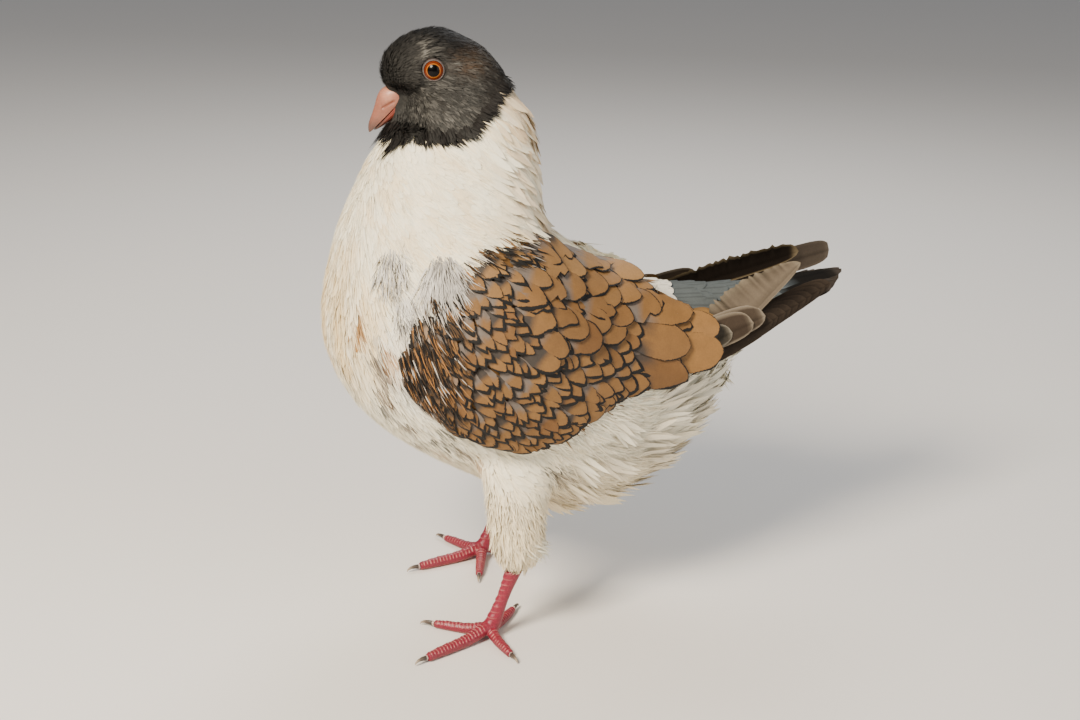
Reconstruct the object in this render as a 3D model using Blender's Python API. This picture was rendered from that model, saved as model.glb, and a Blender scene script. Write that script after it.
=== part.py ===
# A life-size modena pigeon, standing, with its head turned to its right.
# Lengths are in millimetres and MM turns them to metres. The bird looks along -Y, its left is +X.
# The body is a row of rings from the rump over the breast and neck to the crown.
# Wings, tail and legs are set on it, each with a clear gap of GAP to what it grows from.

import math
import random

import bmesh
import bpy
import numpy as np
from mathutils import Vector
from mathutils.bvhtree import BVHTree

MM = 0.001
GAP = 0.3
ORIGIN = Vector((0.0, 42.25, 0.0))

# The neck turns about this upright line; the rings are measured backwards from it.
TURN_AXIS_Y = -19.9
HEAD_TURN = 21.0

# Each ring: back (distance behind the axis, height), front (the same), half width, turn of the neck.
RINGS = (
    (103.0, 114.5, 115.0, 84.0, 13.0, 0.0),
    (92.0, 117.5, 105.0, 66.0, 24.0, 0.0),
    (78.0, 123.5, 84.0, 48.0, 34.0, 0.0),
    (61.0, 134.0, 61.0, 38.0, 42.0, 0.0),
    (46.0, 145.5, 37.0, 39.0, 47.5, 0.0),
    (40.0, 149.5, 12.0, 53.0, 50.0, 0.0),
    (38.0, 152.5, -11.0, 66.0, 50.5, 0.0),
    (37.0, 156.5, -31.0, 83.0, 49.0, 0.0),
    (36.5, 161.0, -42.8, 107.0, 45.5, 0.0),
    (36.5, 166.0, -42.0, 131.0, 40.0, 2.0),
    (36.5, 171.5, -37.5, 150.0, 34.0, 6.0),
    (35.8, 177.0, -32.0, 163.5, 28.5, 11.0),
    (34.8, 182.5, -27.0, 174.0, 23.0, 16.0),
    (32.3, 188.5, -21.5, 182.5, 18.5, 20.0),
    (29.0, 194.0, -18.0, 188.3, 15.8, HEAD_TURN),
    (25.6, 199.5, -16.6, 194.0, 14.6, HEAD_TURN),
    (23.4, 204.8, -20.2, 200.3, 14.2, HEAD_TURN),
    (21.3, 209.8, -21.2, 207.2, 13.8, HEAD_TURN),
    (17.4, 214.6, -19.0, 213.2, 12.4, HEAD_TURN),
    (11.4, 218.3, -13.8, 217.8, 9.5, HEAD_TURN),
    (4.0, 220.6, -7.0, 220.4, 5.0, HEAD_TURN),
    (-1.2, 221.2, -1.8, 221.2, 0.4, HEAD_TURN),
)
NECK_START = 9.4
HEAD_START = 12.6
TORSO_RINGS = 21
NECK_RINGS = 9
HEAD_RINGS = 18
BODY_SIDES = 24

EYE_RADIUS = 4.3
EYE_BEHIND = -1.4
EYE_HEIGHT = 208.2
EYE_OUT = 11.2
EYE_SIDES = 14
EYE_STEPS = 8
# Ring of lids: its sides and those of its section, distance from the eye's line, place on it, thickness.
LID_SIDES = 14
LID_SECTION_SIDES = 5
LID_REACH = 3.75
LID_OUT = 2.4
LID_THICKNESS = 0.8
LID_FLATNESS = 0.92
# The lids face a little forwards and upwards: from the middle of the head to this point beside it.
LID_FACING = (-2.0, 1.0, 12.0)

# Bill sections in the head's own plane: top (behind, height), edge (behind, height), half width.
UPPER_BILL = (
    (-17.0, 201.0, -12.0, 196.6, 4.1),
    (-20.7, 197.7, -15.3, 194.3, 3.9),
    (-22.0, 194.0, -17.3, 191.6, 3.5),
    (-23.2, 190.9, -19.6, 189.0, 2.8),
    (-24.8, 188.0, -21.8, 186.6, 2.1),
    (-25.3, 185.9, -23.5, 184.9, 1.3),
    (-24.9, 183.6, -24.6, 183.7, 0.3),
)
LOWER_BILL = (
    (-11.6, 195.6, -10.5, 191.5, 3.7),
    (-14.9, 193.6, -13.2, 190.4, 3.6),
    (-17.2, 190.9, -15.6, 188.6, 3.1),
    (-19.4, 188.4, -18.4, 186.9, 2.4),
    (-21.6, 186.0, -20.9, 185.2, 1.6),
    (-23.6, 184.2, -23.4, 184.1, 0.3),
)

UPPER_ROUNDNESS = 0.8
LOWER_ROUNDNESS = 0.9
BILL_RINGS = 10
BILL_SIDES = 12
# Cere and nostril: place behind the axis, height, distance from the middle, sizes of the oval.
BILL_SLOPE = ((-19.0, 196.5), (-21.5, 191.0))
CERE = (-19.6, 195.3, 1.9, (2.9, 1.7, 1.7))
NOSTRIL = (-19.3, 192.3, 3.5, (1.8, 0.9, 0.35))
OVAL_SIDES = 10
OVAL_STEPS = 6

# Folded wing on the body: how far back, lowest and highest angle round the body's axis.
WING_AXIS_Z = 103.0
WING_EDGES = (
    (-47.5, -1.0, 20.0),
    (-44.0, -9.0, 32.0),
    (-35.0, -19.0, 46.0),
    (-18.0, -27.0, 55.0),
    (4.0, -31.0, 57.0),
    (20.0, -31.0, 63.0),
    (36.0, -28.0, 71.0),
    (52.0, -24.0, 57.0),
    (68.0, -14.0, 38.0),
    (80.0, -2.0, 30.0),
    (92.0, 10.0, 24.0),
)
WING_COLUMNS = 18
WING_ROWS = 9
WING_RISE = 4.6
WING_EDGE_RISE = 2.0
WING_DEPTH = 8.0
# The wing swells between its edges, and is thinner at them and behind WING_THIN_FROM.
WING_BULGE_POWER = 0.6
WING_BULGE_GAIN = 1.6
WING_THIN_FROM = 30.0
WING_THIN_SHARE = 0.72
WING_EDGE_SHARE = 0.45
# Half width and rise of the folded wing behind the loin, where it stands clear of the body.
WING_REAR = (
    (20.0, 20.0, 20.0),
    (36.0, 41.5, 38.0),
    (52.0, 38.0, 30.0),
    (68.0, 35.5, 24.0),
    (80.0, 34.0, 21.0),
    (92.0, 33.0, 19.0),
)

# Flight feathers as fans: count, width, root and tip of the first and of the last (out, back, height).
PRIMARIES = (7, 10.5, (34.0, 56.0, 92.0), (28.0, 104.0, 109.5), (26.0, 60.0, 94.0), (20.6, 132.0, 126.0))
SECONDARIES = (5, 13.0, (38.0, 56.0, 98.0), (34.5, 86.0, 106.5), (32.0, 58.0, 106.0), (28.6, 105.0, 113.5))
# The inner flight feathers that stand up over the tail, and how far they face upwards.
LIFTED = {
    "left": (1, 12.0, (27.0, 70.0, 112.0), (30.0, 114.5, 135.5), (27.0, 70.0, 112.0), (30.0, 114.5, 135.5)),
    "right": (2, 13.0, (27.0, 70.0, 114.0), (14.0, 148.0, 127.5), (28.0, 68.0, 113.0), (18.5, 130.0, 126.0)),
}
LIFTED_FACING = {"left": 0.35, "right": 1.8}
LIFTED_BEND = -1.0
PRIMARY_FACING = 0.12
SECONDARY_FACING = 0.3
FAN_BEND = 0.8
# Tiers of great coverts: root of the tier, feather length, count, lift of the tips off the wing.
COVERT_TIERS = ((34.0, 26.0, 6, 1.3), (56.0, 32.0, 4, 1.5))
COVERT_SINK = 1.0
COVERT_END_SHARE = 0.82
COVERT_MARGIN = 0.04
COVERT_FULLNESS = 1.5
COVERT_RADIUS = 36.0
COVERT_CUP = 0.10
VANE_THICKNESS = 0.8
VANE_CUP = 0.06
VANE_TAPER = 0.35
VANE_VARIATION = 0.9
VARIATION_SEED = 11
# Places along a vane and its width there, as shares of the whole.
VANE_SHAPE = ((0.0, 0.55), (0.32, 0.88), (0.68, 1.0), (0.91, 0.78), (1.0, 0.28))

TAIL_ROOT = Vector((0.0, 84.0, 112.5))
TAIL_TIP = Vector((0.0, 147.5, 124.5))
TAIL_FEATHERS = 12
TAIL_FEATHER_WIDTH = 11.5
TAIL_ROOT_SPACING = 1.5
TAIL_TIP_SPACING = 2.5
TAIL_LAYER = 0.7
TAIL_ROUNDING = 0.9
TAIL_CORE_LENGTH = 32.0
TAIL_CORE_WIDTH = 23.0
TAIL_CORE_THICKNESS = 8.0
TAIL_CORE_TAPER = 0.8
TAIL_CORE_SINK = 7.0
TAIL_FEATHER_START = 6.0
TAIL_FEATHER_RISE = 0.6
TAIL_LEFT_DROP = 0.1
TAIL_ROUNDING_POWER = 1.2
TAIL_FACING = 0.07
# Section of the core as shares of its width and thickness, and how it rounds off and thins to its end.
BLADE_SECTION = ((1.0, 0.0), (0.4, 0.5), (-0.4, 0.5), (-1.0, 0.0), (-0.4, -0.5), (0.4, -0.5))
BLADE_RINGS = 9
BLADE_ROUND_FROM = 0.75
BLADE_TAPER = 0.6
BLADE_LEAST = 0.02

# Leg: ground point of each foot, hock height, boot sections (height, shift back and inwards, half sizes).
FOOT_POINTS = {"left": Vector((35.0, -10.5, 0.0)), "right": Vector((-35.0, 10.5, 0.0))}
HOCK_SHIFT = 9.4
HOCK_HEIGHT = 26.2
BOOT = (
    (82.0, 10.0, 15.0, 9.0, 12.0),
    (71.0, 10.0, 7.5, 11.5, 14.0),
    (60.0, 10.0, 1.5, 11.5, 12.8),
    (46.0, 10.0, 0.0, 10.5, 11.2),
    (35.0, 10.6, 0.0, 9.0, 10.0),
    (30.0, 10.4, 0.0, 7.2, 8.2),
    (HOCK_HEIGHT + GAP, HOCK_SHIFT, 0.0, 4.2, 4.8),
)
BOOT_RINGS = 10
BOOT_SIDES = 16
TARSUS_RADIUS = 2.5
TARSUS_BASE = 2.4
TARSUS_SIDES = 12
# The shank is thickest at its ends, narrower across than from front to back.
TARSUS_END = 1.25
TARSUS_WAIST = 0.35
TARSUS_WAIST_PLACE = 1.15
TARSUS_WIDE = 0.92
TARSUS_DEEP = 1.1
# Toes: whole length with the claw, heading from straight ahead towards the bird's left, radius.
TOES = {
    "left": (("inner", 27.7, -39.0, 2.0), ("middle", 35.9, 23.0, 2.2), ("outer", 24.2, 96.0, 1.9),
             ("hind", 28.2, -133.0, 1.9)),
    "right": (("inner", 27.0, 68.0, 2.0), ("middle", 34.7, 11.0, 2.2), ("outer", 27.1, -63.0, 1.9),
              ("hind", 30.4, -174.0, 1.9)),
}
CLAW_LENGTH = 6.0
CLAW_RADIUS = 1.2
CLAW_RINGS = 5
CLAW_SIDES = 6
CLAW_ARCH = 0.5
CLAW_TIP_HEIGHT = 0.45
CLAW_TAPER = 0.85
CLAW_PITCH = 1.1
CLAW_NARROWNESS = 0.8
CLAW_FLOOR = 0.05
TOE_SIDES = 8
# Along a toe: share of its reach, height of its middle for a radius of 2 mm, thickness.
TOE_PROFILE = ((0.0, 4.4, 1.15), (0.16, 3.1, 1.15), (0.36, 2.0, 1.05), (0.55, 1.75, 1.0), (0.78, 1.7, 0.92),
               (1.0, 1.55, 0.72))
TOE_PROFILE_RADIUS = 2.0
TOE_SCUTES = {"inner": 6, "middle": 8, "outer": 6, "hind": 5}
TARSUS_SCUTES = 8
SCUTE_RAISE = 0.14
SCUTE_SHARE = 0.88

WHITE = ((0.80, 0.77, 0.68, 1.0), 0.85)
CHARCOAL = ((0.045, 0.042, 0.040, 1.0), 0.75)
BRONZE = ((0.43, 0.22, 0.08, 1.0), 0.70)
SLATE = ((0.19, 0.20, 0.22, 1.0), 0.65)
FLESH_PINK = ((0.66, 0.34, 0.28, 1.0), 0.50)
LEG_RED = ((0.42, 0.05, 0.06, 1.0), 0.50)
HORN = ((0.08, 0.06, 0.05, 1.0), 0.35)
EYE_ORANGE = ((0.60, 0.14, 0.03, 1.0), 0.10)


def clear_scene():
    for old in list(bpy.data.objects):
        bpy.data.objects.remove(old, do_unlink=True)


def material(name, finish):
    made = bpy.data.materials.get(name)
    if made is None:
        made = bpy.data.materials.new(name)
        made.use_nodes = True
        shader = made.node_tree.nodes["Principled BSDF"]
        shader.inputs["Base Color"].default_value = finish[0]
        shader.inputs["Roughness"].default_value = finish[1]
        shader.inputs["Metallic"].default_value = 0.0
    return made


def mesh_object(name, points, faces, collection):
    mesh = bpy.data.meshes.new(name)
    mesh.from_pydata([(Vector(p) - ORIGIN) * MM for p in points], [], faces)
    work = bmesh.new()
    work.from_mesh(mesh)
    bmesh.ops.triangulate(work, faces=work.faces)
    bmesh.ops.recalc_face_normals(work, faces=work.faces)
    work.to_mesh(mesh)
    work.free()
    made = bpy.data.objects.new(name, mesh)
    collection.objects.link(made)
    return made


def smooth_rows(rows, place):
    """Catmull-Rom value of the rows at a fractional row number."""
    last = len(rows) - 1
    low = min(max(int(math.floor(place)), 0), last - 1)
    part = place - low
    picks = [np.array(rows[min(max(low + step, 0), last)], dtype=float) for step in (-1, 0, 1, 2)]
    before, start, end, after = picks
    if low == 0:
        before = 2.0 * start - end
    if low == last - 1:
        after = 2.0 * end - start
    square = part * part
    cube = square * part
    return 0.5 * (2.0 * start + (end - before) * part
                  + (2.0 * before - 5.0 * start + 4.0 * end - after) * square
                  + (3.0 * start - before - 3.0 * end + after) * cube)


def row_at(rows, value):
    """Smooth value of rows whose first column rises, read at a value of that column."""
    firsts = [row[0] for row in rows]
    place = float(np.interp(value, firsts, range(len(rows))))
    return smooth_rows(rows, place)


def tube(name, rings, collection):
    """Closed loft through rings of equal point count."""
    sides = len(rings[0])
    points = [point for ring in rings for point in ring]
    faces = []
    for row in range(len(rings) - 1):
        for side in range(sides):
            following = (side + 1) % sides
            low = row * sides
            high = low + sides
            faces.append((low + side, low + following, high + following, high + side))
    faces.append(tuple(reversed(range(sides))))
    top = (len(rings) - 1) * sides
    faces.append(tuple(top + side for side in range(sides)))
    return mesh_object(name, points, faces, collection)


def head_point(behind, height, out=0.0, turn=HEAD_TURN):
    """Point in the plane that turns with the neck: distance behind the axis, height, towards the left."""
    angle = math.radians(turn)
    x = behind * math.sin(angle) + out * math.cos(angle)
    y = TURN_AXIS_Y + behind * math.cos(angle) - out * math.sin(angle)
    return Vector((x, y, height))


def body_ring(place, shift=0.0):
    """Ring of the body at a fractional ring number, moved along its own normal by shift."""
    back_s, back_z, front_s, front_z, half, turn = smooth_rows(RINGS, place)
    back = head_point(back_s, back_z, 0.0, turn)
    front = head_point(front_s, front_z, 0.0, turn)
    angle = math.radians(turn)
    side = Vector((math.cos(angle), -math.sin(angle), 0.0))
    middle = (back + front) / 2.0
    reach = (back - front) / 2.0
    normal = side.cross(reach).normalized()
    points = []
    for step in range(BODY_SIDES):
        turn_round = 2.0 * math.pi * step / BODY_SIDES
        points.append(middle + reach * math.cos(turn_round) + side * (half * math.sin(turn_round))
                      + normal * shift)
    return points


def body_piece(name, first, last, count, shift_first, shift_last, collection):
    rings = []
    for step in range(count):
        place = first + (last - first) * step / (count - 1)
        shift = shift_first if step == 0 else shift_last if step == count - 1 else 0.0
        rings.append(body_ring(place, shift))
    return tube(name, rings, collection)


def inflated(source, amount, collection):
    """Copy of a closed object with its skin moved outwards."""
    mesh = source.data.copy()
    work = bmesh.new()
    work.from_mesh(mesh)
    work.normal_update()
    for vert in work.verts:
        vert.co += vert.normal * vert.calc_shell_factor() * amount * MM
    work.to_mesh(mesh)
    work.free()
    made = bpy.data.objects.new(source.name + "_guide", mesh)
    collection.objects.link(made)
    made.hide_render = True
    made.display_type = "WIRE"
    return made


def keep_largest(mesh):
    """Remove every closed surface but the one with the most volume."""
    work = bmesh.new()
    work.from_mesh(mesh)
    bmesh.ops.triangulate(work, faces=work.faces)
    left = set(work.faces)
    shells = []
    while left:
        seed = left.pop()
        shell = [seed]
        queue = [seed]
        while queue:
            face = queue.pop()
            for edge in face.edges:
                for other in edge.link_faces:
                    if other in left:
                        left.discard(other)
                        shell.append(other)
                        queue.append(other)
        volume = 0.0
        for face in shell:
            a, b, c = (vert.co for vert in face.verts)
            volume += a.dot(b.cross(c)) / 6.0
        shells.append((volume, shell))
    shells.sort(key=lambda entry: entry[0], reverse=True)
    loose = [face for entry in shells[1:] for face in entry[1]]
    bmesh.ops.delete(work, geom=loose, context="FACES")
    work.to_mesh(mesh)
    work.free()


def boolean(target, others, operation):
    """One Boolean of target with a collection of other objects, applied; the others are removed."""
    group = bpy.data.collections.new("cutters")
    bpy.context.scene.collection.children.link(group)
    for other in others:
        for holder in list(other.users_collection):
            holder.objects.unlink(other)
        group.objects.link(other)
    modifier = target.modifiers.new("join", "BOOLEAN")
    modifier.operation = operation
    modifier.operand_type = "COLLECTION"
    modifier.collection = group
    modifier.solver = "MANIFOLD"
    bpy.context.view_layer.update()
    graph = bpy.context.evaluated_depsgraph_get()
    mesh = bpy.data.meshes.new_from_object(target.evaluated_get(graph))
    target.modifiers.remove(modifier)
    keep_largest(mesh)
    mesh.name = target.name
    target.data = mesh
    for other in others:
        bpy.data.objects.remove(other, do_unlink=True)
    bpy.data.collections.remove(group)


def clear_of(target, guides, collection):
    """Cut target back from the guides, so that it meets them face to face with the clear gap."""
    cutters = []
    for guide in guides:
        cutter = guide.copy()
        cutter.data = guide.data.copy()
        collection.objects.link(cutter)
        cutters.append(cutter)
    boolean(target, cutters, "DIFFERENCE")


def finish_object(made, name, finish):
    made.data.materials.clear()
    made.data.materials.append(material(name, finish))
    made.data.shade_smooth()


def ball(name, centre, radius, segments, rings, collection):
    work = bmesh.new()
    bmesh.ops.create_uvsphere(work, u_segments=segments, v_segments=rings, radius=radius * MM)
    bmesh.ops.translate(work, verts=work.verts, vec=(centre - ORIGIN) * MM)
    mesh = bpy.data.meshes.new(name)
    work.to_mesh(mesh)
    work.free()
    made = bpy.data.objects.new(name, mesh)
    collection.objects.link(made)
    return made


def lid_ring(name, centre, outward, collection):
    """Swollen ring of skin round the eye."""
    across = outward.cross(Vector((0.0, 0.0, 1.0))).normalized()
    up = across.cross(outward).normalized()
    rings = []
    for step in range(LID_SIDES):
        angle = 2.0 * math.pi * step / LID_SIDES
        away = across * math.cos(angle) + up * (LID_FLATNESS * math.sin(angle))
        spot = centre + away * LID_REACH + outward * LID_OUT
        ring = []
        for side in range(LID_SECTION_SIDES):
            roll = 2.0 * math.pi * side / LID_SECTION_SIDES
            ring.append(spot + (away * math.cos(roll) + outward * math.sin(roll)) * LID_THICKNESS)
        rings.append(ring)
    points = [point for ring in rings for point in ring]
    faces = []
    for row in range(LID_SIDES):
        for side in range(LID_SECTION_SIDES):
            low = row * LID_SECTION_SIDES
            high = ((row + 1) % LID_SIDES) * LID_SECTION_SIDES
            following = (side + 1) % LID_SECTION_SIDES
            faces.append((low + side, low + following, high + following, high + side))
    return mesh_object(name, points, faces, collection)


def bill_piece(name, rows, roundness, collection):
    """Horn of the bill as a loft of half-round sections."""
    rings = []
    for step in range(BILL_RINGS):
        top_s, top_z, edge_s, edge_z, half = smooth_rows(rows, (len(rows) - 1) * step / (BILL_RINGS - 1))
        top = head_point(top_s, top_z)
        edge = head_point(edge_s, edge_z)
        side = head_point(0.0, 0.0, 1.0) - head_point(0.0, 0.0, 0.0)
        ring = []
        for number in range(BILL_SIDES):
            angle = math.pi * number / (BILL_SIDES - 1)
            lift = math.sin(angle) ** roundness
            ring.append(edge + (top - edge) * lift + side * (half * math.cos(angle)))
        rings.append(ring)
    return tube(name, rings, collection)


def bill_details(bill, collection):
    """Swollen cere on each side of the bill's root and the nostril slit under it."""
    ceres = []
    slits = []
    along = (head_point(*BILL_SLOPE[1]) - head_point(*BILL_SLOPE[0])).normalized()
    for side in (-1.0, 1.0):
        for name, spec, made in (("cere", CERE, ceres), ("nostril", NOSTRIL, slits)):
            behind, height, out, sizes = spec
            made.append(oval(name, head_point(behind, height, side * out), along, sizes, collection))
    boolean(bill, ceres, "UNION")
    boolean(bill, slits, "DIFFERENCE")


def oval(name, centre, along, sizes, collection):
    """Ellipsoid with its first size along the given heading and its third upright to it and the side."""
    side = (head_point(0.0, 0.0, 1.0) - head_point(0.0, 0.0, 0.0)).normalized()
    up = along.cross(side).normalized()
    made = ball(name, centre, 1.0, OVAL_SIDES, OVAL_STEPS, collection)
    middle = (centre - ORIGIN) * MM
    for vert in made.data.vertices:
        away = vert.co - middle
        vert.co = middle + along * (away.x * sizes[0]) + side * (away.y * sizes[1])
        vert.co += up * (away.z * sizes[2])
    work = bmesh.new()
    work.from_mesh(made.data)
    bmesh.ops.recalc_face_normals(work, faces=work.faces)
    work.to_mesh(made.data)
    work.free()
    return made


def torso_reach(tree, y, angle):
    """Distance from the wing's axis to the torso's skin, or nothing where the axis is outside."""
    start = (Vector((0.0, y, WING_AXIS_Z)) - ORIGIN) * MM
    heading = Vector((math.cos(angle), 0.0, math.sin(angle)))
    hit = tree.ray_cast(start, heading)
    if hit[0] is None or hit[1].dot(heading) < 0.0:
        return 0.0
    return hit[3] / MM


def wing_reach(tree, y, angle, over):
    """Distance of the wing's outer face from its axis, at a share of the way up from its lower edge."""
    first = WING_EDGES[0][0]
    last = WING_EDGES[-1][0]
    along = (y - first) / (last - first)
    bulge = math.sin(math.pi * over) ** WING_BULGE_POWER
    bulge *= math.sin(math.pi * min(along * WING_BULGE_GAIN, 0.5))
    reach = torso_reach(tree, y, angle) + WING_EDGE_RISE + (WING_RISE - WING_EDGE_RISE) * bulge
    if y > WING_REAR[0][0]:
        rear_half, rear_rise = row_at(WING_REAR, y)[1:]
        reach = max(reach, 1.0 / math.hypot(math.cos(angle) / rear_half, math.sin(angle) / rear_rise))
    return reach


def wing_shield(name, side, tree, collection):
    """Folded wing from wrist to the tips of the great coverts, as a shell that hugs the body."""
    first = WING_EDGES[0][0]
    last = WING_EDGES[-1][0]
    outer = []
    inner = []
    for column in range(WING_COLUMNS):
        along = column / (WING_COLUMNS - 1)
        y = first + (last - first) * along
        low_angle, high_angle = row_at(WING_EDGES, y)[1:]
        for row in range(WING_ROWS):
            over = row / (WING_ROWS - 1)
            angle = math.radians(low_angle + (high_angle - low_angle) * over)
            reach = wing_reach(tree, y, angle, over)
            behind = max(0.0, (y - WING_THIN_FROM) / (last - WING_THIN_FROM))
            depth = WING_DEPTH * (1.0 - WING_THIN_SHARE * behind)
            depth *= WING_EDGE_SHARE + (1.0 - WING_EDGE_SHARE) * math.sin(math.pi * over) ** WING_BULGE_POWER
            for points, distance in ((outer, reach), (inner, reach - depth)):
                points.append(Vector((side * distance * math.cos(angle), y,
                                      WING_AXIS_Z + distance * math.sin(angle))))
    points = outer + inner
    half = len(outer)
    faces = []
    for column in range(WING_COLUMNS - 1):
        for row in range(WING_ROWS - 1):
            a = column * WING_ROWS + row
            b = a + WING_ROWS
            faces.append((a, a + 1, b + 1))
            faces.append((a, b + 1, b))
            faces.append((half + a, half + b + 1, half + a + 1))
            faces.append((half + a, half + b, half + b + 1))
    for column in range(WING_COLUMNS - 1):
        for row in (0, WING_ROWS - 1):
            a = column * WING_ROWS + row
            b = a + WING_ROWS
            faces.append((a, b, half + b, half + a))
    for row in range(WING_ROWS - 1):
        for column in (0, WING_COLUMNS - 1):
            a = column * WING_ROWS + row
            faces.append((a, a + 1, half + a + 1, half + a))
    return mesh_object(name, points, faces, collection)


def blade(name, root, tip, face_out, root_width, tip_width, thickness, collection):
    """Plain flat blade with a rounded end, broad across face_out."""
    along = (tip - root).normalized()
    across = along.cross(face_out).normalized()
    out = across.cross(along).normalized()
    length = (tip - root).length
    rings = []
    for step in range(BLADE_RINGS):
        t = step / (BLADE_RINGS - 1)
        width = root_width + (tip_width - root_width) * t
        ending = max(0.0, (t - BLADE_ROUND_FROM) / (1.0 - BLADE_ROUND_FROM))
        width *= math.sqrt(max(BLADE_LEAST, 1.0 - ending ** 2))
        thick = thickness * (1.0 - BLADE_TAPER * t)
        centre = root + along * (length * t)
        ring = []
        for wide, lift in BLADE_SECTION:
            ring.append(centre + across * (wide * width / 2.0) + out * (lift * thick))
        rings.append(ring)
    return tube(name, rings, collection)


def vane(name, centres, outs, width, thickness, cup, collection):
    """Feather vane: a thin cupped sheet, thickest along its shaft, split alike on both faces."""
    count = len(centres)
    points = []
    for number in range(count):
        along = (centres[min(number + 1, count - 1)] - centres[max(number - 1, 0)]).normalized()
        across = along.cross(outs[number]).normalized()
        out = across.cross(along).normalized()
        half = width * VANE_SHAPE[number][1] / 2.0
        thick = thickness * (1.0 - VANE_TAPER * number / (count - 1)) / 2.0
        centre = centres[number]
        points.append(centre - across * half - out * (cup * half))
        points.append(centre + out * thick)
        points.append(centre + across * half - out * (cup * half))
        points.append(centre - out * thick)
    faces = [(0, 1, 2), (0, 2, 3)]
    for number in range(count - 1):
        low = number * 4
        high = low + 4
        for edge in (0, 2):
            for ridge in (1, 3):
                faces.append((low + edge, low + ridge, high + ridge))
                faces.append((low + edge, high + ridge, high + edge))
    last = (count - 1) * 4
    faces.append((last, last + 1, last + 2))
    faces.append((last, last + 2, last + 3))
    return mesh_object(name, points, faces, collection)


def feather(name, root, tip, out, width, bend, collection):
    """Straight or slightly bowed vane from root to tip, facing out."""
    centres = []
    for share, _ in VANE_SHAPE:
        centres.append(root.lerp(tip, share) + out.normalized() * (bend * math.sin(math.pi * share)))
    return vane(name, centres, [out] * len(VANE_SHAPE), width, VANE_THICKNESS, VANE_CUP, collection)


def feather_fan(name, fan, side, out, bend, chance, collection):
    """Row of feathers whose roots and tips run evenly from the first to the last."""
    count, width, first_root, first_tip, last_root, last_tip = fan
    mirrored = [Vector((side * x, y, z)) for x, y, z in (first_root, first_tip, last_root, last_tip)]
    made = []
    for number in range(count):
        share = number / max(count - 1, 1)
        root = mirrored[0].lerp(mirrored[2], share)
        tip = mirrored[1].lerp(mirrored[3], share)
        tip += (tip - root).normalized() * chance.uniform(-VANE_VARIATION, VANE_VARIATION)
        made.append(feather(name + str(number), root, tip, out, width, bend, collection))
    return made


def covert_tiers(word, side, tree, collection):
    """Great coverts in tiers that follow the wing and lift off it towards their tips."""
    made = []
    for tier, (root_y, length, count, lift) in enumerate(COVERT_TIERS):
        for number in range(count):
            share = (number + 0.5) / count
            centres = []
            outs = []
            for along, _ in VANE_SHAPE:
                rounded = COVERT_END_SHARE + (1.0 - COVERT_END_SHARE) * math.sin(math.pi * share)
                y = root_y + length * rounded * along
                on_wing = min(y, WING_EDGES[-1][0])
                low_angle, high_angle = row_at(WING_EDGES, on_wing)[1:]
                over = COVERT_MARGIN + (1.0 - 2.0 * COVERT_MARGIN) * share
                angle = math.radians(low_angle + (high_angle - low_angle) * over)
                reach = wing_reach(tree, on_wing, angle, share) - COVERT_SINK + (COVERT_SINK + lift) * along
                heading = Vector((side * math.cos(angle), 0.0, math.sin(angle)))
                centres.append(Vector((0.0, y, WING_AXIS_Z)) + heading * reach)
                outs.append(heading)
            low_angle, high_angle = row_at(WING_EDGES, root_y + 0.5 * length)[1:]
            width = COVERT_FULLNESS * math.radians(high_angle - low_angle) * COVERT_RADIUS / count
            made.append(vane("covert_" + word + str(tier) + str(number), centres, outs, width,
                             VANE_THICKNESS, COVERT_CUP, collection))
    return made


def build_wing(word, side, tree, guides, collection):
    wing = wing_shield("wing_" + word, side, tree, collection)
    chance = random.Random(VARIATION_SEED)
    feathers = []
    for fan_name, fan, facing, bend in (("primary_", PRIMARIES, PRIMARY_FACING, FAN_BEND),
                                        ("secondary_", SECONDARIES, SECONDARY_FACING, FAN_BEND),
                                        ("lifted_", LIFTED[word], LIFTED_FACING[word], LIFTED_BEND)):
        out = Vector((side, 0.0, facing))
        feathers += feather_fan(fan_name + word, fan, side, out, bend, chance, collection)
    feathers += covert_tiers(word, side, tree, collection)
    boolean(wing, feathers, "UNION")
    clear_of(wing, guides, collection)
    finish_object(wing, "bronze_feather", BRONZE)


def build_tail(guides, collection):
    """Twelve tail feathers, the middle pair uppermost, rooted in a core of coverts."""
    along = (TAIL_TIP - TAIL_ROOT).normalized()
    up = Vector((0.0, 0.0, 1.0))
    tail = blade("tail", TAIL_ROOT - along * TAIL_CORE_SINK, TAIL_ROOT + along * TAIL_CORE_LENGTH, up,
                 TAIL_CORE_WIDTH, TAIL_CORE_TAPER * TAIL_CORE_WIDTH, TAIL_CORE_THICKNESS, collection)
    feathers = []
    chance = random.Random(VARIATION_SEED)
    for number in range(TAIL_FEATHERS):
        across = number - (TAIL_FEATHERS - 1) / 2.0
        lower = TAIL_LEFT_DROP if across > 0.0 else 0.0
        drop = Vector((0.0, 0.0, -TAIL_LAYER * (abs(across) - 0.5) - lower))
        start = Vector((across * TAIL_ROOT_SPACING, 0.0, TAIL_FEATHER_RISE))
        root = TAIL_ROOT + along * TAIL_FEATHER_START + start + drop
        rounding = TAIL_ROUNDING * abs(across) ** TAIL_ROUNDING_POWER + chance.uniform(0.0, VANE_VARIATION)
        tip = TAIL_TIP + Vector((across * TAIL_TIP_SPACING, -rounding, 0.0)) + drop
        out = Vector((TAIL_FACING * across, 0.0, 1.0))
        feathers.append(feather("rectrix" + str(number), root, tip, out, TAIL_FEATHER_WIDTH, 0.0,
                                collection))
    boolean(tail, feathers, "UNION")
    clear_of(tail, guides, collection)
    finish_object(tail, "slate_feather", SLATE)


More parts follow.
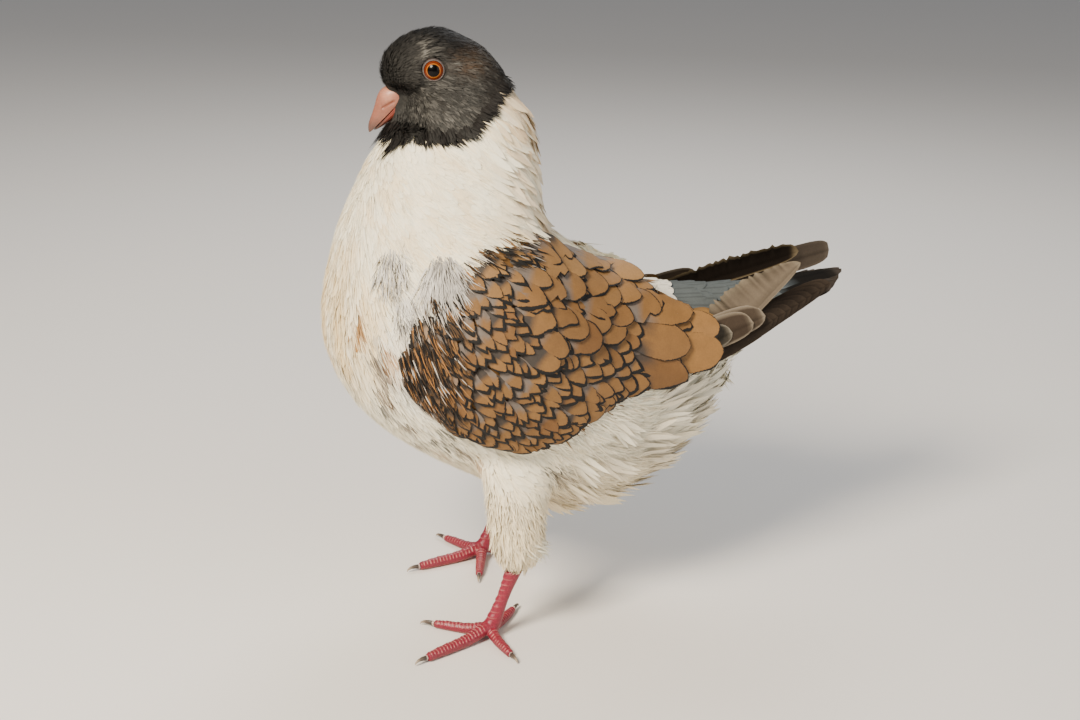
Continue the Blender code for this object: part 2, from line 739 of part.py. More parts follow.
def build_thigh(word, guides, collection):
    foot = FOOT_POINTS[word]
    rings = []
    for step in range(BOOT_RINGS):
        height, shift, inward, half_x, half_y = smooth_rows(BOOT, (len(BOOT) - 1) * step / (BOOT_RINGS - 1))
        middle = foot.x - math.copysign(inward, foot.x)
        ring = []
        for number in range(BOOT_SIDES):
            angle = 2.0 * math.pi * number / BOOT_SIDES
            ring.append(Vector((middle + half_x * math.cos(angle), foot.y + shift + half_y * math.sin(angle),
                                height)))
        rings.append(ring)
    thigh = tube("thigh_" + word, rings, collection)
    clear_of(thigh, guides, collection)
    finish_object(thigh, "white_feather", WHITE)


def toe_ring(centre, along, radius, raised):
    """Ring across a toe, raised over its back; what would lie below the floor is flattened on it."""
    across = Vector((-along.y, along.x, 0.0))
    up = Vector((0.0, 0.0, 1.0))
    ring = []
    for number in range(TOE_SIDES):
        angle = 2.0 * math.pi * (number + 0.5) / TOE_SIDES
        swell = radius * (1.0 + raised * max(0.0, math.sin(angle)))
        point = centre + across * (swell * math.cos(angle)) + up * (swell * math.sin(angle))
        point.z = max(point.z, 0.0)
        ring.append(point)
    return ring


def scute_steps(count):
    """Places along a limb with the raise of its scutes: each swells to its end and drops to the next."""
    steps = []
    for number in range(count):
        steps.append((number / count, 0.0))
        steps.append(((number + SCUTE_SHARE) / count, SCUTE_RAISE))
    steps.append((1.0, 0.0))
    return steps


def toe_rows(foot, flat, reach, radius):
    """Points and radii along a toe, from inside the foot to the root of the claw."""
    rows = []
    for share, height, thick in TOE_PROFILE:
        spot = foot + flat * (reach * share)
        rows.append((spot.x, spot.y, height * radius / TOE_PROFILE_RADIUS, radius * thick))
    return rows


def build_toe(name, foot, length, heading, radius, collection):
    angle = math.radians(heading)
    flat = Vector((math.sin(angle), -math.cos(angle), 0.0))
    reach = length - CLAW_LENGTH
    rows = toe_rows(foot, flat, reach, radius)
    rings = []
    for share, raised in scute_steps(TOE_SCUTES[name.split("_")[0]]):
        x, y, z, thick = smooth_rows(rows, (len(rows) - 1) * share)
        rings.append(toe_ring(Vector((x, y, z)), flat, thick, raised))
    build_claw(name, foot + flat * reach, flat, rows[-1][2], collection)
    return tube("toe_" + name, rings, collection)


def build_foot(word, collection):
    """Tarsus with its front scutes, and four toes fused to it over the ball of the foot."""
    foot = FOOT_POINTS[word]
    toes = []
    for name, length, heading, radius in TOES[word]:
        toes.append(build_toe(name + "_" + word, foot, length, heading, radius, collection))
    hock = foot + Vector((0.0, HOCK_SHIFT, HOCK_HEIGHT))
    base = foot + Vector((0.0, 0.0, TARSUS_BASE))
    rings = []
    for share, raised in scute_steps(TARSUS_SCUTES):
        centre = hock.lerp(base, share)
        waist = math.sin(math.pi * min(1.0, share * TARSUS_WAIST_PLACE))
        radius = TARSUS_RADIUS * (TARSUS_END - TARSUS_WAIST * waist)
        ring = []
        for number in range(TARSUS_SIDES):
            angle = 2.0 * math.pi * number / TARSUS_SIDES
            swell = radius * (1.0 + raised * max(0.0, -math.sin(angle)))
            ring.append(centre + Vector((TARSUS_WIDE * swell * math.cos(angle),
                                         TARSUS_DEEP * swell * math.sin(angle), 0.0)))
        rings.append(ring)
    tarsus = tube("foot_" + word, rings, collection)
    boolean(tarsus, toes, "UNION")
    finish_object(tarsus, "leg_skin", LEG_RED)


def build_claw(word, root, flat, height, collection):
    rings = []
    for step in range(CLAW_RINGS):
        t = step / (CLAW_RINGS - 1)
        forward = GAP + (CLAW_LENGTH - GAP) * math.sin(0.5 * math.pi * t)
        rise = height + CLAW_ARCH * math.sin(math.pi * t) - (height - CLAW_TIP_HEIGHT) * t * t
        radius = CLAW_RADIUS * (1.0 - CLAW_TAPER * t)
        centre = root + flat * forward
        centre.z = rise
        pitch = Vector((flat.x, flat.y, -CLAW_PITCH * t))
        ring = []
        across = Vector((-flat.y, flat.x, 0.0))
        up = pitch.cross(across).normalized()
        if up.z < 0.0:
            up = -up
        if step == 0:
            up = Vector((0.0, 0.0, 1.0))
        for number in range(CLAW_SIDES):
            angle = 2.0 * math.pi * number / CLAW_SIDES
            wide = CLAW_NARROWNESS * radius * math.cos(angle)
            point = centre + across * wide + up * (radius * math.sin(angle))
            point.z = max(point.z, CLAW_FLOOR)
            ring.append(point)
        rings.append(ring)
    claw = tube("claw_" + word, rings, collection)
    finish_object(claw, "claw_horn", HORN)


def build_head(collection):
    last = len(RINGS) - 1
    head = body_piece("head", HEAD_START, last, HEAD_RINGS, GAP / 2.0, 0.0, collection)
    head_guide = inflated(head, GAP, collection)
    lids = []
    sockets = []
    for word, side in (("left", 1.0), ("right", -1.0)):
        centre = head_point(EYE_BEHIND, EYE_HEIGHT, side * EYE_OUT)
        forward, upward, beside = LID_FACING
        facing = head_point(EYE_BEHIND + forward, EYE_HEIGHT + upward, side * beside)
        outward = (facing - head_point(EYE_BEHIND, EYE_HEIGHT)).normalized()
        lids.append(lid_ring("lid_" + word, centre, outward, collection))
        sockets.append(ball("socket_" + word, centre, EYE_RADIUS + GAP, EYE_SIDES, EYE_STEPS, collection))
        eye = ball("eye_" + word, centre, EYE_RADIUS, EYE_SIDES, EYE_STEPS, collection)
        finish_object(eye, "eye_orange", EYE_ORANGE)
    boolean(head, lids, "UNION")
    boolean(head, sockets, "DIFFERENCE")
    finish_object(head, "head_feather", CHARCOAL)
    for name, rows, roundness in (("bill_upper", UPPER_BILL, UPPER_ROUNDNESS),
                                  ("bill_lower", LOWER_BILL, LOWER_ROUNDNESS)):
        bill = bill_piece(name, rows, roundness, collection)
        if name == "bill_upper":
            bill_details(bill, collection)
        clear_of(bill, [head_guide], collection)
        finish_object(bill, "bill_horn", FLESH_PINK)
    bpy.data.objects.remove(head_guide, do_unlink=True)


def main():
    clear_scene()
    collection = bpy.data.collections.new("modena_pigeon")
    bpy.context.scene.collection.children.link(collection)
    torso = body_piece("torso", 0.0, NECK_START, TORSO_RINGS, 0.0, -GAP / 2.0, collection)
    finish_object(torso, "white_feather", WHITE)
    neck = body_piece("neck", NECK_START, HEAD_START, NECK_RINGS, GAP / 2.0, -GAP / 2.0, collection)
    finish_object(neck, "white_feather", WHITE)
    build_head(collection)
    whole = body_piece("whole", 0.0, HEAD_START, TORSO_RINGS + NECK_RINGS, 0.0, 0.0, collection)
    bpy.context.view_layer.update()
    tree = BVHTree.FromObject(whole, bpy.context.evaluated_depsgraph_get())
    bpy.data.objects.remove(whole, do_unlink=True)
    guides = [inflated(piece, GAP, collection) for piece in (torso, neck)]
    build_tail(guides, collection)
    for word, side in (("left", 1.0), ("right", -1.0)):
        build_wing(word, side, tree, guides, collection)
        build_thigh(word, guides, collection)
        build_foot(word, collection)
    for guide in guides:
        bpy.data.objects.remove(guide, do_unlink=True)


main()
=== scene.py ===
import math

import bmesh
import bpy
import numpy as np
from mathutils import Matrix, Vector, noise
from mathutils.bvhtree import BVHTree


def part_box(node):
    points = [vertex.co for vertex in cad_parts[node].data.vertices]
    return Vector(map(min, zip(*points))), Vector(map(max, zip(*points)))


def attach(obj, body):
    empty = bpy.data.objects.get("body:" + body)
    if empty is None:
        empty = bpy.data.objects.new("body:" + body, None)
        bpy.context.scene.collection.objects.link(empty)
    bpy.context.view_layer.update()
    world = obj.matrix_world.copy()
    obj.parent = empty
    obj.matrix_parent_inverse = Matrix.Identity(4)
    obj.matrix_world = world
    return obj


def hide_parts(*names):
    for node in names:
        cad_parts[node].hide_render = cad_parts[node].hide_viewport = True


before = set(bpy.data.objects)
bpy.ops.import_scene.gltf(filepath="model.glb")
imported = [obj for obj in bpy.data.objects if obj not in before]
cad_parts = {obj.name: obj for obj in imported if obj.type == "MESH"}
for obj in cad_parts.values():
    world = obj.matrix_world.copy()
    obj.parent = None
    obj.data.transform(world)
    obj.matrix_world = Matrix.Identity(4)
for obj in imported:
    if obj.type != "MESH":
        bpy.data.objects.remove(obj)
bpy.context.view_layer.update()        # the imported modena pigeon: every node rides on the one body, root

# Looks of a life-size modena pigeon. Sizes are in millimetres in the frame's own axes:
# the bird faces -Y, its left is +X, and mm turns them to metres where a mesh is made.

mm = 0.001
chance = np.random.default_rng(12)


# colours, nodes and small sums

def srgb(hexText):
    parts = [int(hexText[start:start + 2], 16) / 255.0 for start in (0, 2, 4)]
    return tuple(p / 12.92 if p <= 0.04045 else ((p + 0.055) / 1.055) ** 2.4 for p in parts) + (1.0,)


def paint(hexText):
    return np.array(srgb(hexText)[:3])


def addNode(tree, kind, settings=None, inputs=None):
    node = tree.nodes.new(kind)
    for name, value in (settings or {}).items():
        setattr(node, name, value)
    for name, value in (inputs or {}).items():
        if isinstance(value, bpy.types.NodeSocket):
            tree.links.new(value, node.inputs[name])
        else:
            node.inputs[name].default_value = value
    return node


def ramp(low, high, values):
    share = np.clip((values - low) / (high - low), 0.0, 1.0)
    return share * share * (3.0 - 2.0 * share)


def unit(vectors):
    return vectors / np.maximum(np.linalg.norm(vectors, axis=-1, keepdims=True), 1e-9)


def tangent(headings, outs):
    flat = headings - outs * np.sum(headings * outs, axis=-1, keepdims=True)
    return unit(flat)


def mixTo(base, colour, amount):
    return base + (colour - base) * amount[:, None]


def clumps(points, size, start=0.0, stretch=1.6):
    # smooth noise of about -1 to 1 whose lumps are size millimetres across
    shift = Vector((start, start, start))
    return np.array([noise.noise(Vector(point) / size + shift) for point in points]) * stretch


def turnAbout(points, middle):
    return np.arctan2(points[:, 0] - middle[0], -(points[:, 1] - middle[1]))


def blob(across, up, middle, reach):
    # a soft spot: 1 at its middle, fading over its reach each way
    return np.exp(-((across - middle[0]) / reach[0]) ** 2 - ((up - middle[1]) / reach[1]) ** 2)


# the head turns with the neck about an upright line, so its own points are given on that turned plane

headPose = {"axisY": -62.15, "turn": 21.0}


def headMeasures(points):
    turn = math.radians(headPose["turn"])
    away = points[:, 1] - headPose["axisY"]
    return (points[:, 0] * math.sin(turn) + away * math.cos(turn),
            points[:, 0] * math.cos(turn) - away * math.sin(turn))


def headPoint(behind, height, out=0.0):
    turn = math.radians(headPose["turn"])
    x = behind * math.sin(turn) + out * math.cos(turn)
    y = headPose["axisY"] + behind * math.cos(turn) - out * math.sin(turn)
    return np.array((x, y, height))


# finishing of pieces

def finishPiece(piece, material, nodes=()):
    piece.data.materials.clear()
    piece.data.materials.append(material)
    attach(piece, "root")
    if nodes:
        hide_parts(*nodes)


def meshPiece(name, mesh):
    piece = bpy.data.objects.new(name, mesh)
    bpy.context.scene.collection.objects.link(piece)
    return piece


def applied(piece):
    bpy.context.view_layer.update()
    graph = bpy.context.evaluated_depsgraph_get()
    mesh = bpy.data.meshes.new_from_object(piece.evaluated_get(graph))
    piece.modifiers.clear()
    piece.data = mesh
    return piece


def meshFrom(work, name):
    mesh = bpy.data.meshes.new(name)
    work.to_mesh(mesh)
    work.free()
    return mesh


def relax(work, rounds):
    for _ in range(rounds):
        bmesh.ops.smooth_vert(work, verts=work.verts, factor=0.5, use_axis_x=True, use_axis_y=True,
                              use_axis_z=True)


def nodeCopy(name):
    # a node's loose triangles with their doubles merged
    part = bmesh.new()
    part.from_mesh(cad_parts[name].data)
    bmesh.ops.remove_doubles(part, verts=part.verts, dist=0.01 * mm)
    return part


def oneSurface(name, parts, voxel):
    # the parts made one even surface: its piece, and its mesh opened for more work
    work = bmesh.new()
    for part in parts:
        mesh = meshFrom(part, "part")
        work.from_mesh(mesh)
        bpy.data.meshes.remove(mesh)
    piece = meshPiece(name, meshFrom(work, name))
    remesh = piece.modifiers.new("oneSurface", "REMESH")
    remesh.mode = "VOXEL"
    remesh.voxel_size = voxel * mm
    applied(piece)
    work = bmesh.new()
    work.from_mesh(piece.data)
    return piece, work


def nodeSpan(name):
    # a node's middle and half its size each way
    low, high = (np.array(corner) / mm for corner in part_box(name))
    return (low + high) / 2.0, (high - low) / 2.0


def setLayer(mesh, name, kind, values):
    layer = mesh.attributes.new(name, kind, "POINT")
    field = {"FLOAT_COLOR": "color", "FLOAT_VECTOR": "vector", "FLOAT": "value"}[kind]
    layer.data.foreach_set(field, values.astype(np.float32).ravel())


def setTints(mesh, tints):
    colours = np.ones((len(mesh.vertices), 4), dtype=np.float32)
    colours[:, :3] = tints
    setLayer(mesh, "tint", "FLOAT_COLOR", colours)


def startMaterial(name, sockets):
    material = bpy.data.materials.new(name)
    material.use_nodes = True
    shader = material.node_tree.nodes["Principled BSDF"]
    for socket, value in sockets.items():
        shader.inputs[socket].default_value = value
    return material, material.node_tree, shader


def grainOf(place, size, detail):
    # settings of a noise on Object coordinates whose lumps are size millimetres across
    return {"Vector": place.outputs["Object"], "Scale": 1.0 / (size * mm), "Detail": detail}


def between(value, low, high, start=0.3, end=0.7):
    # settings that stretch a value, as a rule the middle part of a noise, to run from low to high
    return {"Value": value, "From Min": start, "From Max": end, "To Min": low, "To Max": high}


def meshPoints(mesh):
    points = np.empty(len(mesh.vertices) * 3, dtype=np.float32)
    mesh.vertices.foreach_get("co", points)
    return points.reshape(-1, 3).astype(float) / mm


# what the coat is laid on

def treeOf(mesh):
    points = meshPoints(mesh)
    mesh.calc_loop_triangles()
    faces = np.empty(len(mesh.loop_triangles) * 3, dtype=np.int32)
    mesh.loop_triangles.foreach_get("vertices", faces)
    faces = faces.reshape(-1, 3)
    return BVHTree.FromPolygons(points.tolist(), faces.tolist()), points, faces


def nearestOn(tree, places):
    found = np.empty_like(places)
    outs = np.empty_like(places)
    gaps = np.empty(len(places))
    for number, place in enumerate(places):
        spot, out, _, gap = tree.find_nearest(Vector(place))
        found[number] = spot
        outs[number] = out
        gaps[number] = gap
    return found, outs, gaps


def combOver(tree, roots, headings, lengths, shares, snap=1.6):
    # walks from each root along the surface and gives the place and the outward way at each share
    place = roots.copy()
    _, outs, _ = nearestOn(tree, place)
    heading = tangent(headings, outs)
    places = np.zeros((len(roots), len(shares), 3))
    ways = np.zeros_like(places)
    last = 0.0
    for step, share in enumerate(shares):
        place = place + heading * (lengths * (share - last))[:, None]
        found, facing, gaps = nearestOn(tree, place)
        near = gaps < snap
        place[near] = found[near]
        outs = outs.copy()
        outs[near] = unit(0.5 * outs[near] + 0.5 * facing[near])
        heading = tangent(heading, outs)
        places[:, step] = place
        ways[:, step] = outs
        last = share
    return places, ways


def scatter(wanted, gap, keep):
    # random places on the skin, each at least gap from the others, where keep says yes
    corners = skinPoints[skinFaces]
    spans = np.cross(corners[:, 1] - corners[:, 0], corners[:, 2] - corners[:, 0])
    areas = 0.5 * np.linalg.norm(spans, axis=1) * keep(corners.mean(axis=1))
    picks = chance.choice(len(skinFaces), size=wanted, p=areas / areas.sum())
    first = np.sqrt(chance.random(wanted))[:, None]
    second = chance.random(wanted)[:, None]
    chosen = corners[picks]
    spots = (1 - first) * chosen[:, 0] + first * (1 - second) * chosen[:, 1] + first * second * chosen[:, 2]
    cells = np.floor(spots / gap).astype(int)
    taken = {}
    kept = []
    around = [(i, j, k) for i in (-1, 0, 1) for j in (-1, 0, 1) for k in (-1, 0, 1)]
    spotRows = spots.tolist()
    cellRows = cells.tolist()
    limit = gap * gap
    for number in range(wanted):
        x, y, z = spotRows[number]
        a, b, c = cellRows[number]
        clear = True
        for i, j, k in around:
            other = taken.get((a + i, b + j, c + k))
            if other is not None:
                if (other[0] - x) ** 2 + (other[1] - y) ** 2 + (other[2] - z) ** 2 < limit:
                    clear = False
                    break
        if clear:
            taken[(a, b, c)] = (x, y, z)
            kept.append(number)
    return spots[kept]


# one vane: a lens in section, rows of it along the shaft and a point at the tip

vaneBuild = {"tipThinning": 0.55, "rootTurn": 6.28, "rootMiddle": 0.12, "rootSpread": 0.1, "bakeSize": 0.003}


def vaneTemplate(rowCount, columnCount):
    top = np.linspace(-1.0, 1.0, columnCount)
    columns = np.concatenate([top, top[-2:0:-1]])
    faceUp = np.concatenate([np.ones(columnCount), -np.ones(columnCount - 2)])
    ring = len(columns)
    faces = []
    corners = []
    for row in range(rowCount - 1):
        for side in range(ring):
            a = row * ring + side
            b = row * ring + (side + 1) % ring
            for triangle in ((a, b, b + ring), (a, b + ring, a + ring)):
                faces.append(triangle)
                corners.append([(columns[v % ring], v // ring) for v in triangle])
    tip = rowCount * ring
    last = (rowCount - 1) * ring
    for side in range(ring):
        following = (side + 1) % ring
        faces.append((last + side, last + following, tip))
        corners.append([(columns[side], rowCount - 1), (columns[following], rowCount - 1), (0.0, rowCount)])
    for side in range(1, ring - 1):
        faces.append((0, side + 1, side))
        turns = [vaneBuild["rootTurn"] * v / ring for v in (0, side + 1, side)]
        corners.append([(math.cos(turn), vaneBuild["rootMiddle"] + vaneBuild["rootSpread"] * math.sin(turn))
                        for turn in turns])
    return {"columns": columns, "faceUp": faceUp, "faces": np.array(faces), "corners": np.array(corners)}


def layVanes(name, places, ways, halfWidths, shape, tints, laces, bakeSpots, patch):
    # places and ways: feathers x (rows + tip) x 3; halfWidths: feathers x rows, or x 2 for the two webs;
    # tints: one for each feather, or one for each of its points
    count, rowsAndTip, _ = places.shape
    rowCount = rowsAndTip - 1
    template = vaneTemplate(rowCount, shape["columns"])
    columns = template["columns"]
    ring = len(columns)
    if halfWidths.ndim == 2:
        halfWidths = np.repeat(halfWidths[:, :, None], 2, axis=2)
    webs = np.where(columns[None, None, :] < 0.0, halfWidths[:, :, :1], halfWidths[:, :, 1:])
    along = np.empty_like(places)
    along[:, 1:-1] = places[:, 2:] - places[:, :-2]
    along[:, 0] = places[:, 1] - places[:, 0]
    along[:, -1] = places[:, -1] - places[:, -2]
    along = unit(along)
    across = unit(np.cross(along, ways))
    outs = np.cross(across, along)
    shares = np.array(shape["shares"])
    thick = shape["thickness"] * 0.5 * (1.0 - vaneBuild["tipThinning"] * shares[:rowCount])
    lens = 1.0 - columns ** 2
    aside = webs * columns[None, None, :]
    rise = thick[None, :, None] * (lens * template["faceUp"])[None, None, :]
    rise = rise - shape["cup"] * webs * (columns ** 2)[None, None, :]
    points = places[:, :rowCount, None, :] + across[:, :rowCount, None, :] * aside[..., None]
    points = points + outs[:, :rowCount, None, :] * rise[..., None]
    perFeather = rowCount * ring + 1
    allPoints = np.concatenate([points.reshape(count, rowCount * ring, 3), places[:, -1:, :]], axis=1)
    lengths = np.linalg.norm(np.diff(places, axis=1), axis=2).sum(axis=1)

    atTip = np.zeros((count, 1))
    acrossMm = np.concatenate([aside.reshape(count, -1), atTip], axis=1)
    alongShare = np.concatenate([np.repeat(shares[:rowCount], ring), [1.0]])
    alongMm = lengths[:, None] * alongShare[None, :]
    sideRim = (webs * (1.0 - np.abs(columns))[None, None, :]).reshape(count, -1)
    sideRim = np.concatenate([sideRim, atTip], axis=1)
    rim = np.minimum(sideRim, lengths[:, None] - alongMm)
    spots = np.stack([acrossMm, alongMm, rim], axis=2)

    faces = template["faces"][None, :, :] + (np.arange(count) * perFeather)[:, None, None]
    corners = template["corners"]
    uvShare = np.empty_like(corners)
    uvShare[..., 0] = 0.5 * corners[..., 0]
    uvShare[..., 1] = corners[..., 1] / rowCount - 0.5
    uvs = bakeSpots[:, None, None, :] + uvShare[None] * patch

    mesh = bpy.data.meshes.new(name)
    mesh.vertices.add(count * perFeather)
    mesh.vertices.foreach_set("co", (allPoints * mm).astype(np.float32).ravel())
    faceCount = faces.shape[0] * faces.shape[1]
    mesh.loops.add(faceCount * 3)
    mesh.loops.foreach_set("vertex_index", faces.astype(np.int32).ravel())
    mesh.polygons.add(faceCount)
    mesh.polygons.foreach_set("loop_start", np.arange(0, faceCount * 3, 3, dtype=np.int32))
    mesh.update(calc_edges=True)
    mesh.shade_smooth()
    edges = np.empty(len(mesh.edges) * 2, dtype=np.int32)
    mesh.edges.foreach_get("vertices", edges)
    edges = edges.reshape(-1, 2) % perFeather
    onRim = np.zeros(perFeather, dtype=bool)
    onRim[:-1] = np.tile(np.abs(columns) > 0.99, rowCount)
    onRim[-1] = True
    sharp = mesh.attributes.new("sharp_edge", "BOOLEAN", "EDGE")
    sharp.data.foreach_set("value", (onRim[edges[:, 0]] & onRim[edges[:, 1]]).ravel())
    layer = mesh.uv_layers.new(name="OFBake")
    layer.uv.foreach_set("vector", uvs.astype(np.float32).ravel())
    if tints.ndim == 2:
        tints = np.repeat(tints[:, None, :], perFeather, axis=1)
    setTints(mesh, tints.reshape(-1, 3))
    setLayer(mesh, "spot", "FLOAT_VECTOR", spots)
    setLayer(mesh, "lace", "FLOAT", laces(acrossMm, alongShare, webs.max(axis=(1, 2))))
    mesh.validate()
    return meshPiece(name, mesh)


def noLace(acrossMm, alongShare, widest):
    return np.zeros_like(acrossMm)


def spreadPlaces(first, second, margin=0.02):
    # two measures of each root, stretched to fill a bake map
    spots = np.stack([first, second], axis=1)
    low = spots.min(axis=0)
    high = spots.max(axis=0)
    return margin + (1.0 - 2.0 * margin) * (spots - low) / np.maximum(high - low, 1e-6)


# feather materials: keratin vanes, dull and soft, with barbs too fine to see drawn coarser than real

def featherMaterial(name, look):
    material, tree, shader = startMaterial(name, {
        "Roughness": look["roughness"], "Specular IOR Level": look["shine"], "Sheen Weight": look["sheen"],
        "Sheen Roughness": 0.5, "IOR": 1.54})
    tint, spot, lace = [addNode(tree, "ShaderNodeAttribute", {"attribute_name": layer})
                        for layer in ("tint", "spot", "lace")]
    place = addNode(tree, "ShaderNodeTexCoord")
    parts = addNode(tree, "ShaderNodeSeparateXYZ", inputs={"Vector": spot.outputs["Vector"]})
    aside = addNode(tree, "ShaderNodeMath", {"operation": "ABSOLUTE"}, {0: parts.outputs["X"]})
    slant = addNode(tree, "ShaderNodeMath", {"operation": "MULTIPLY_ADD"},
                    {0: aside.outputs[0], 1: look["barbSlant"], 2: parts.outputs["Y"]})
    phase = addNode(tree, "ShaderNodeMath", {"operation": "MULTIPLY"},
                    {0: slant.outputs[0], 1: 2.0 * math.pi / look["barbSpacing"]})
    wave = addNode(tree, "ShaderNodeMath", {"operation": "SINE"}, {0: phase.outputs[0]})
    grain = addNode(tree, "ShaderNodeTexNoise", inputs=grainOf(place, look["grain"], 2.0))
    cloud = addNode(tree, "ShaderNodeTexNoise", inputs=grainOf(place, look["cloud"], 3.0))
    # barbs, grain and clouds darken the tint a little
    lines = addNode(tree, "ShaderNodeMath", {"operation": "MULTIPLY_ADD"},
                    {0: wave.outputs[0], 1: look["barbShade"], 2: 1.0 - look["barbShade"]})
    shade = lines.outputs[0]
    for pattern, amount in ((grain, look["grainShade"]), (cloud, look["cloudShade"])):
        specks = addNode(tree, "ShaderNodeMapRange",
                         inputs=between(pattern.outputs["Fac"], 1.0 - amount, 1.0 + amount))
        both = addNode(tree, "ShaderNodeMath", {"operation": "MULTIPLY"}, {0: shade, 1: specks.outputs[0]})
        shade = both.outputs[0]
    shaded = addNode(tree, "ShaderNodeVectorMath", {"operation": "SCALE"},
                     {0: tint.outputs["Color"], "Scale": shade})
    # dark lacing where the way in from the rim is less than the lace's own width, with a frayed border
    fray = addNode(tree, "ShaderNodeMath", {"operation": "MULTIPLY_ADD"},
                   {0: grain.outputs["Fac"], 1: look["fray"], 2: parts.outputs["Z"]})
    inward = addNode(tree, "ShaderNodeMath", {"operation": "SUBTRACT"},
                     {0: fray.outputs[0], 1: lace.outputs["Fac"]})
    frayed = 0.5 * look["fray"]
    mask = addNode(tree, "ShaderNodeMapRange", {"interpolation_type": "SMOOTHSTEP"},
                   between(inward.outputs[0], 1.0, 0.0, -0.12 + frayed, 0.18 + frayed))
    laced = addNode(tree, "ShaderNodeMath", {"operation": "GREATER_THAN"}, {0: lace.outputs["Fac"], 1: 0.02})
    held = addNode(tree, "ShaderNodeMath", {"operation": "MULTIPLY"},
                   {0: mask.outputs[0], 1: laced.outputs[0]})
    mixed = addNode(tree, "ShaderNodeMix", {"data_type": "RGBA"},
                    {0: held.outputs[0], 6: shaded.outputs[0], 7: srgb(look["laceColour"])})
    tree.links.new(mixed.outputs[2], shader.inputs["Base Color"])
    bump = addNode(tree, "ShaderNodeBump", inputs={"Strength": look["bump"], "Distance": 0.12 * mm,
                                                   "Height": wave.outputs[0]})
    tree.links.new(bump.outputs[0], shader.inputs["Normal"])
    return material


featherLooks = {
    "downyContour": {"barbSpacing": 0.55, "barbSlant": 1.2, "barbShade": 0.03, "grain": 0.7,
                     "grainShade": 0.04, "cloud": 9.0, "cloudShade": 0.04, "fray": 0.2,
                     "laceColour": "1d1a17", "bump": 0.12, "roughness": 0.8, "shine": 0.25, "sheen": 0.1},
    "hoodContour": {"barbSpacing": 0.45, "barbSlant": 1.2, "barbShade": 0.05, "grain": 0.8,
                    "grainShade": 0.18, "cloud": 5.0, "cloudShade": 0.14, "fray": 0.2,
                    "laceColour": "1d1a17", "bump": 0.25, "roughness": 0.66, "shine": 0.2, "sheen": 0.0},
    "lacedCovert": {"barbSpacing": 0.5, "barbSlant": 1.1, "barbShade": 0.035, "grain": 0.6,
                    "grainShade": 0.07, "cloud": 4.0, "cloudShade": 0.08, "fray": 0.9,
                    "laceColour": "0d0b09", "bump": 0.2, "roughness": 0.6, "shine": 0.3, "sheen": 0.0},
    "flightVane": {"barbSpacing": 0.6, "barbSlant": 0.9, "barbShade": 0.06, "grain": 0.8,
                   "grainShade": 0.05, "cloud": 6.0, "cloudShade": 0.06, "fray": 0.3,
                   "laceColour": "b9ac9b", "bump": 0.35, "roughness": 0.85, "shine": 0.03, "sheen": 0.0},
}
featherFinish = {name: featherMaterial(name, look) for name, look in featherLooks.items()}
print("feather materials ready")


# the wing's own surface, surveyed from its node: where it starts and ends at each station along the bird

wingSurvey = {"axisHeight": 103.0, "front": -89.0, "rear": 46.0, "stations": 46, "rows": 26,
              "farDrop": 4.0, "lowest": -45.0, "highest": 85.0, "scans": 131, "far": 95.0}


def surveyWing(word, side):
    tree, _, _ = treeOf(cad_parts["wing_" + word].data)
    stations = np.linspace(wingSurvey["front"], wingSurvey["rear"], wingSurvey["stations"])
    angles = np.radians(np.linspace(wingSurvey["lowest"], wingSurvey["highest"], wingSurvey["scans"]))
    lows, highs, reaches = [], [], []
    shares = np.linspace(0.0, 1.0, wingSurvey["rows"])
    for y in stations:
        found = []
        for angle in angles:
            way = Vector((side * math.cos(angle), 0.0, math.sin(angle)))
            start = Vector((0.0, y, wingSurvey["axisHeight"])) + way * wingSurvey["far"]
            spot = tree.ray_cast(start, -way)[0]
            if spot is not None:
                found.append((angle, math.hypot(spot.x, spot.z - wingSurvey["axisHeight"])))
        found = np.array(found)
        lows.append(found[:, 0].min())
        highs.append(found[:, 0].max())
        span = lows[-1] + (highs[-1] - lows[-1]) * shares
        reaches.append(np.interp(span, found[:, 0], found[:, 1]))
    reaches = np.array(reaches)
    for _ in range(3):
        padded = np.pad(reaches, 1, mode="edge")
        reaches = (padded[1:-1, 1:-1] * 2 + padded[:-2, 1:-1] + padded[2:, 1:-1]
                   + padded[1:-1, :-2] + padded[1:-1, 2:]) / 6.0
    lows = np.convolve(np.pad(lows, 1, mode="edge"), (0.25, 0.5, 0.25), mode="valid")
    highs = np.convolve(np.pad(highs, 1, mode="edge"), (0.25, 0.5, 0.25), mode="valid")
    span = lows[:, None] + (highs - lows)[:, None] * shares[None, :]
    points = np.stack([side * reaches * np.cos(span), np.repeat(stations[:, None], len(shares), axis=1),
                       wingSurvey["axisHeight"] + reaches * np.sin(span)], axis=2)
    return {"stations": stations, "shares": shares, "points": points, "lows": lows, "highs": highs,
            "side": side, "drop": 0.0 if side > 0 else wingSurvey["farDrop"]}


def wingPoint(survey, y, share):
    row = np.interp(y, survey["stations"], np.arange(len(survey["stations"])))
    column = np.interp(share, survey["shares"], np.arange(len(survey["shares"])))
    row0 = np.clip(np.floor(row).astype(int), 0, len(survey["stations"]) - 2)
    column0 = np.clip(np.floor(column).astype(int), 0, len(survey["shares"]) - 2)
    a = (row - row0)[:, None]
    b = (column - column0)[:, None]
    grid = survey["points"]
    return ((1 - a) * (1 - b) * grid[row0, column0] + a * (1 - b) * grid[row0 + 1, column0]
            + (1 - a) * b * grid[row0, column0 + 1] + a * b * grid[row0 + 1, column0 + 1])


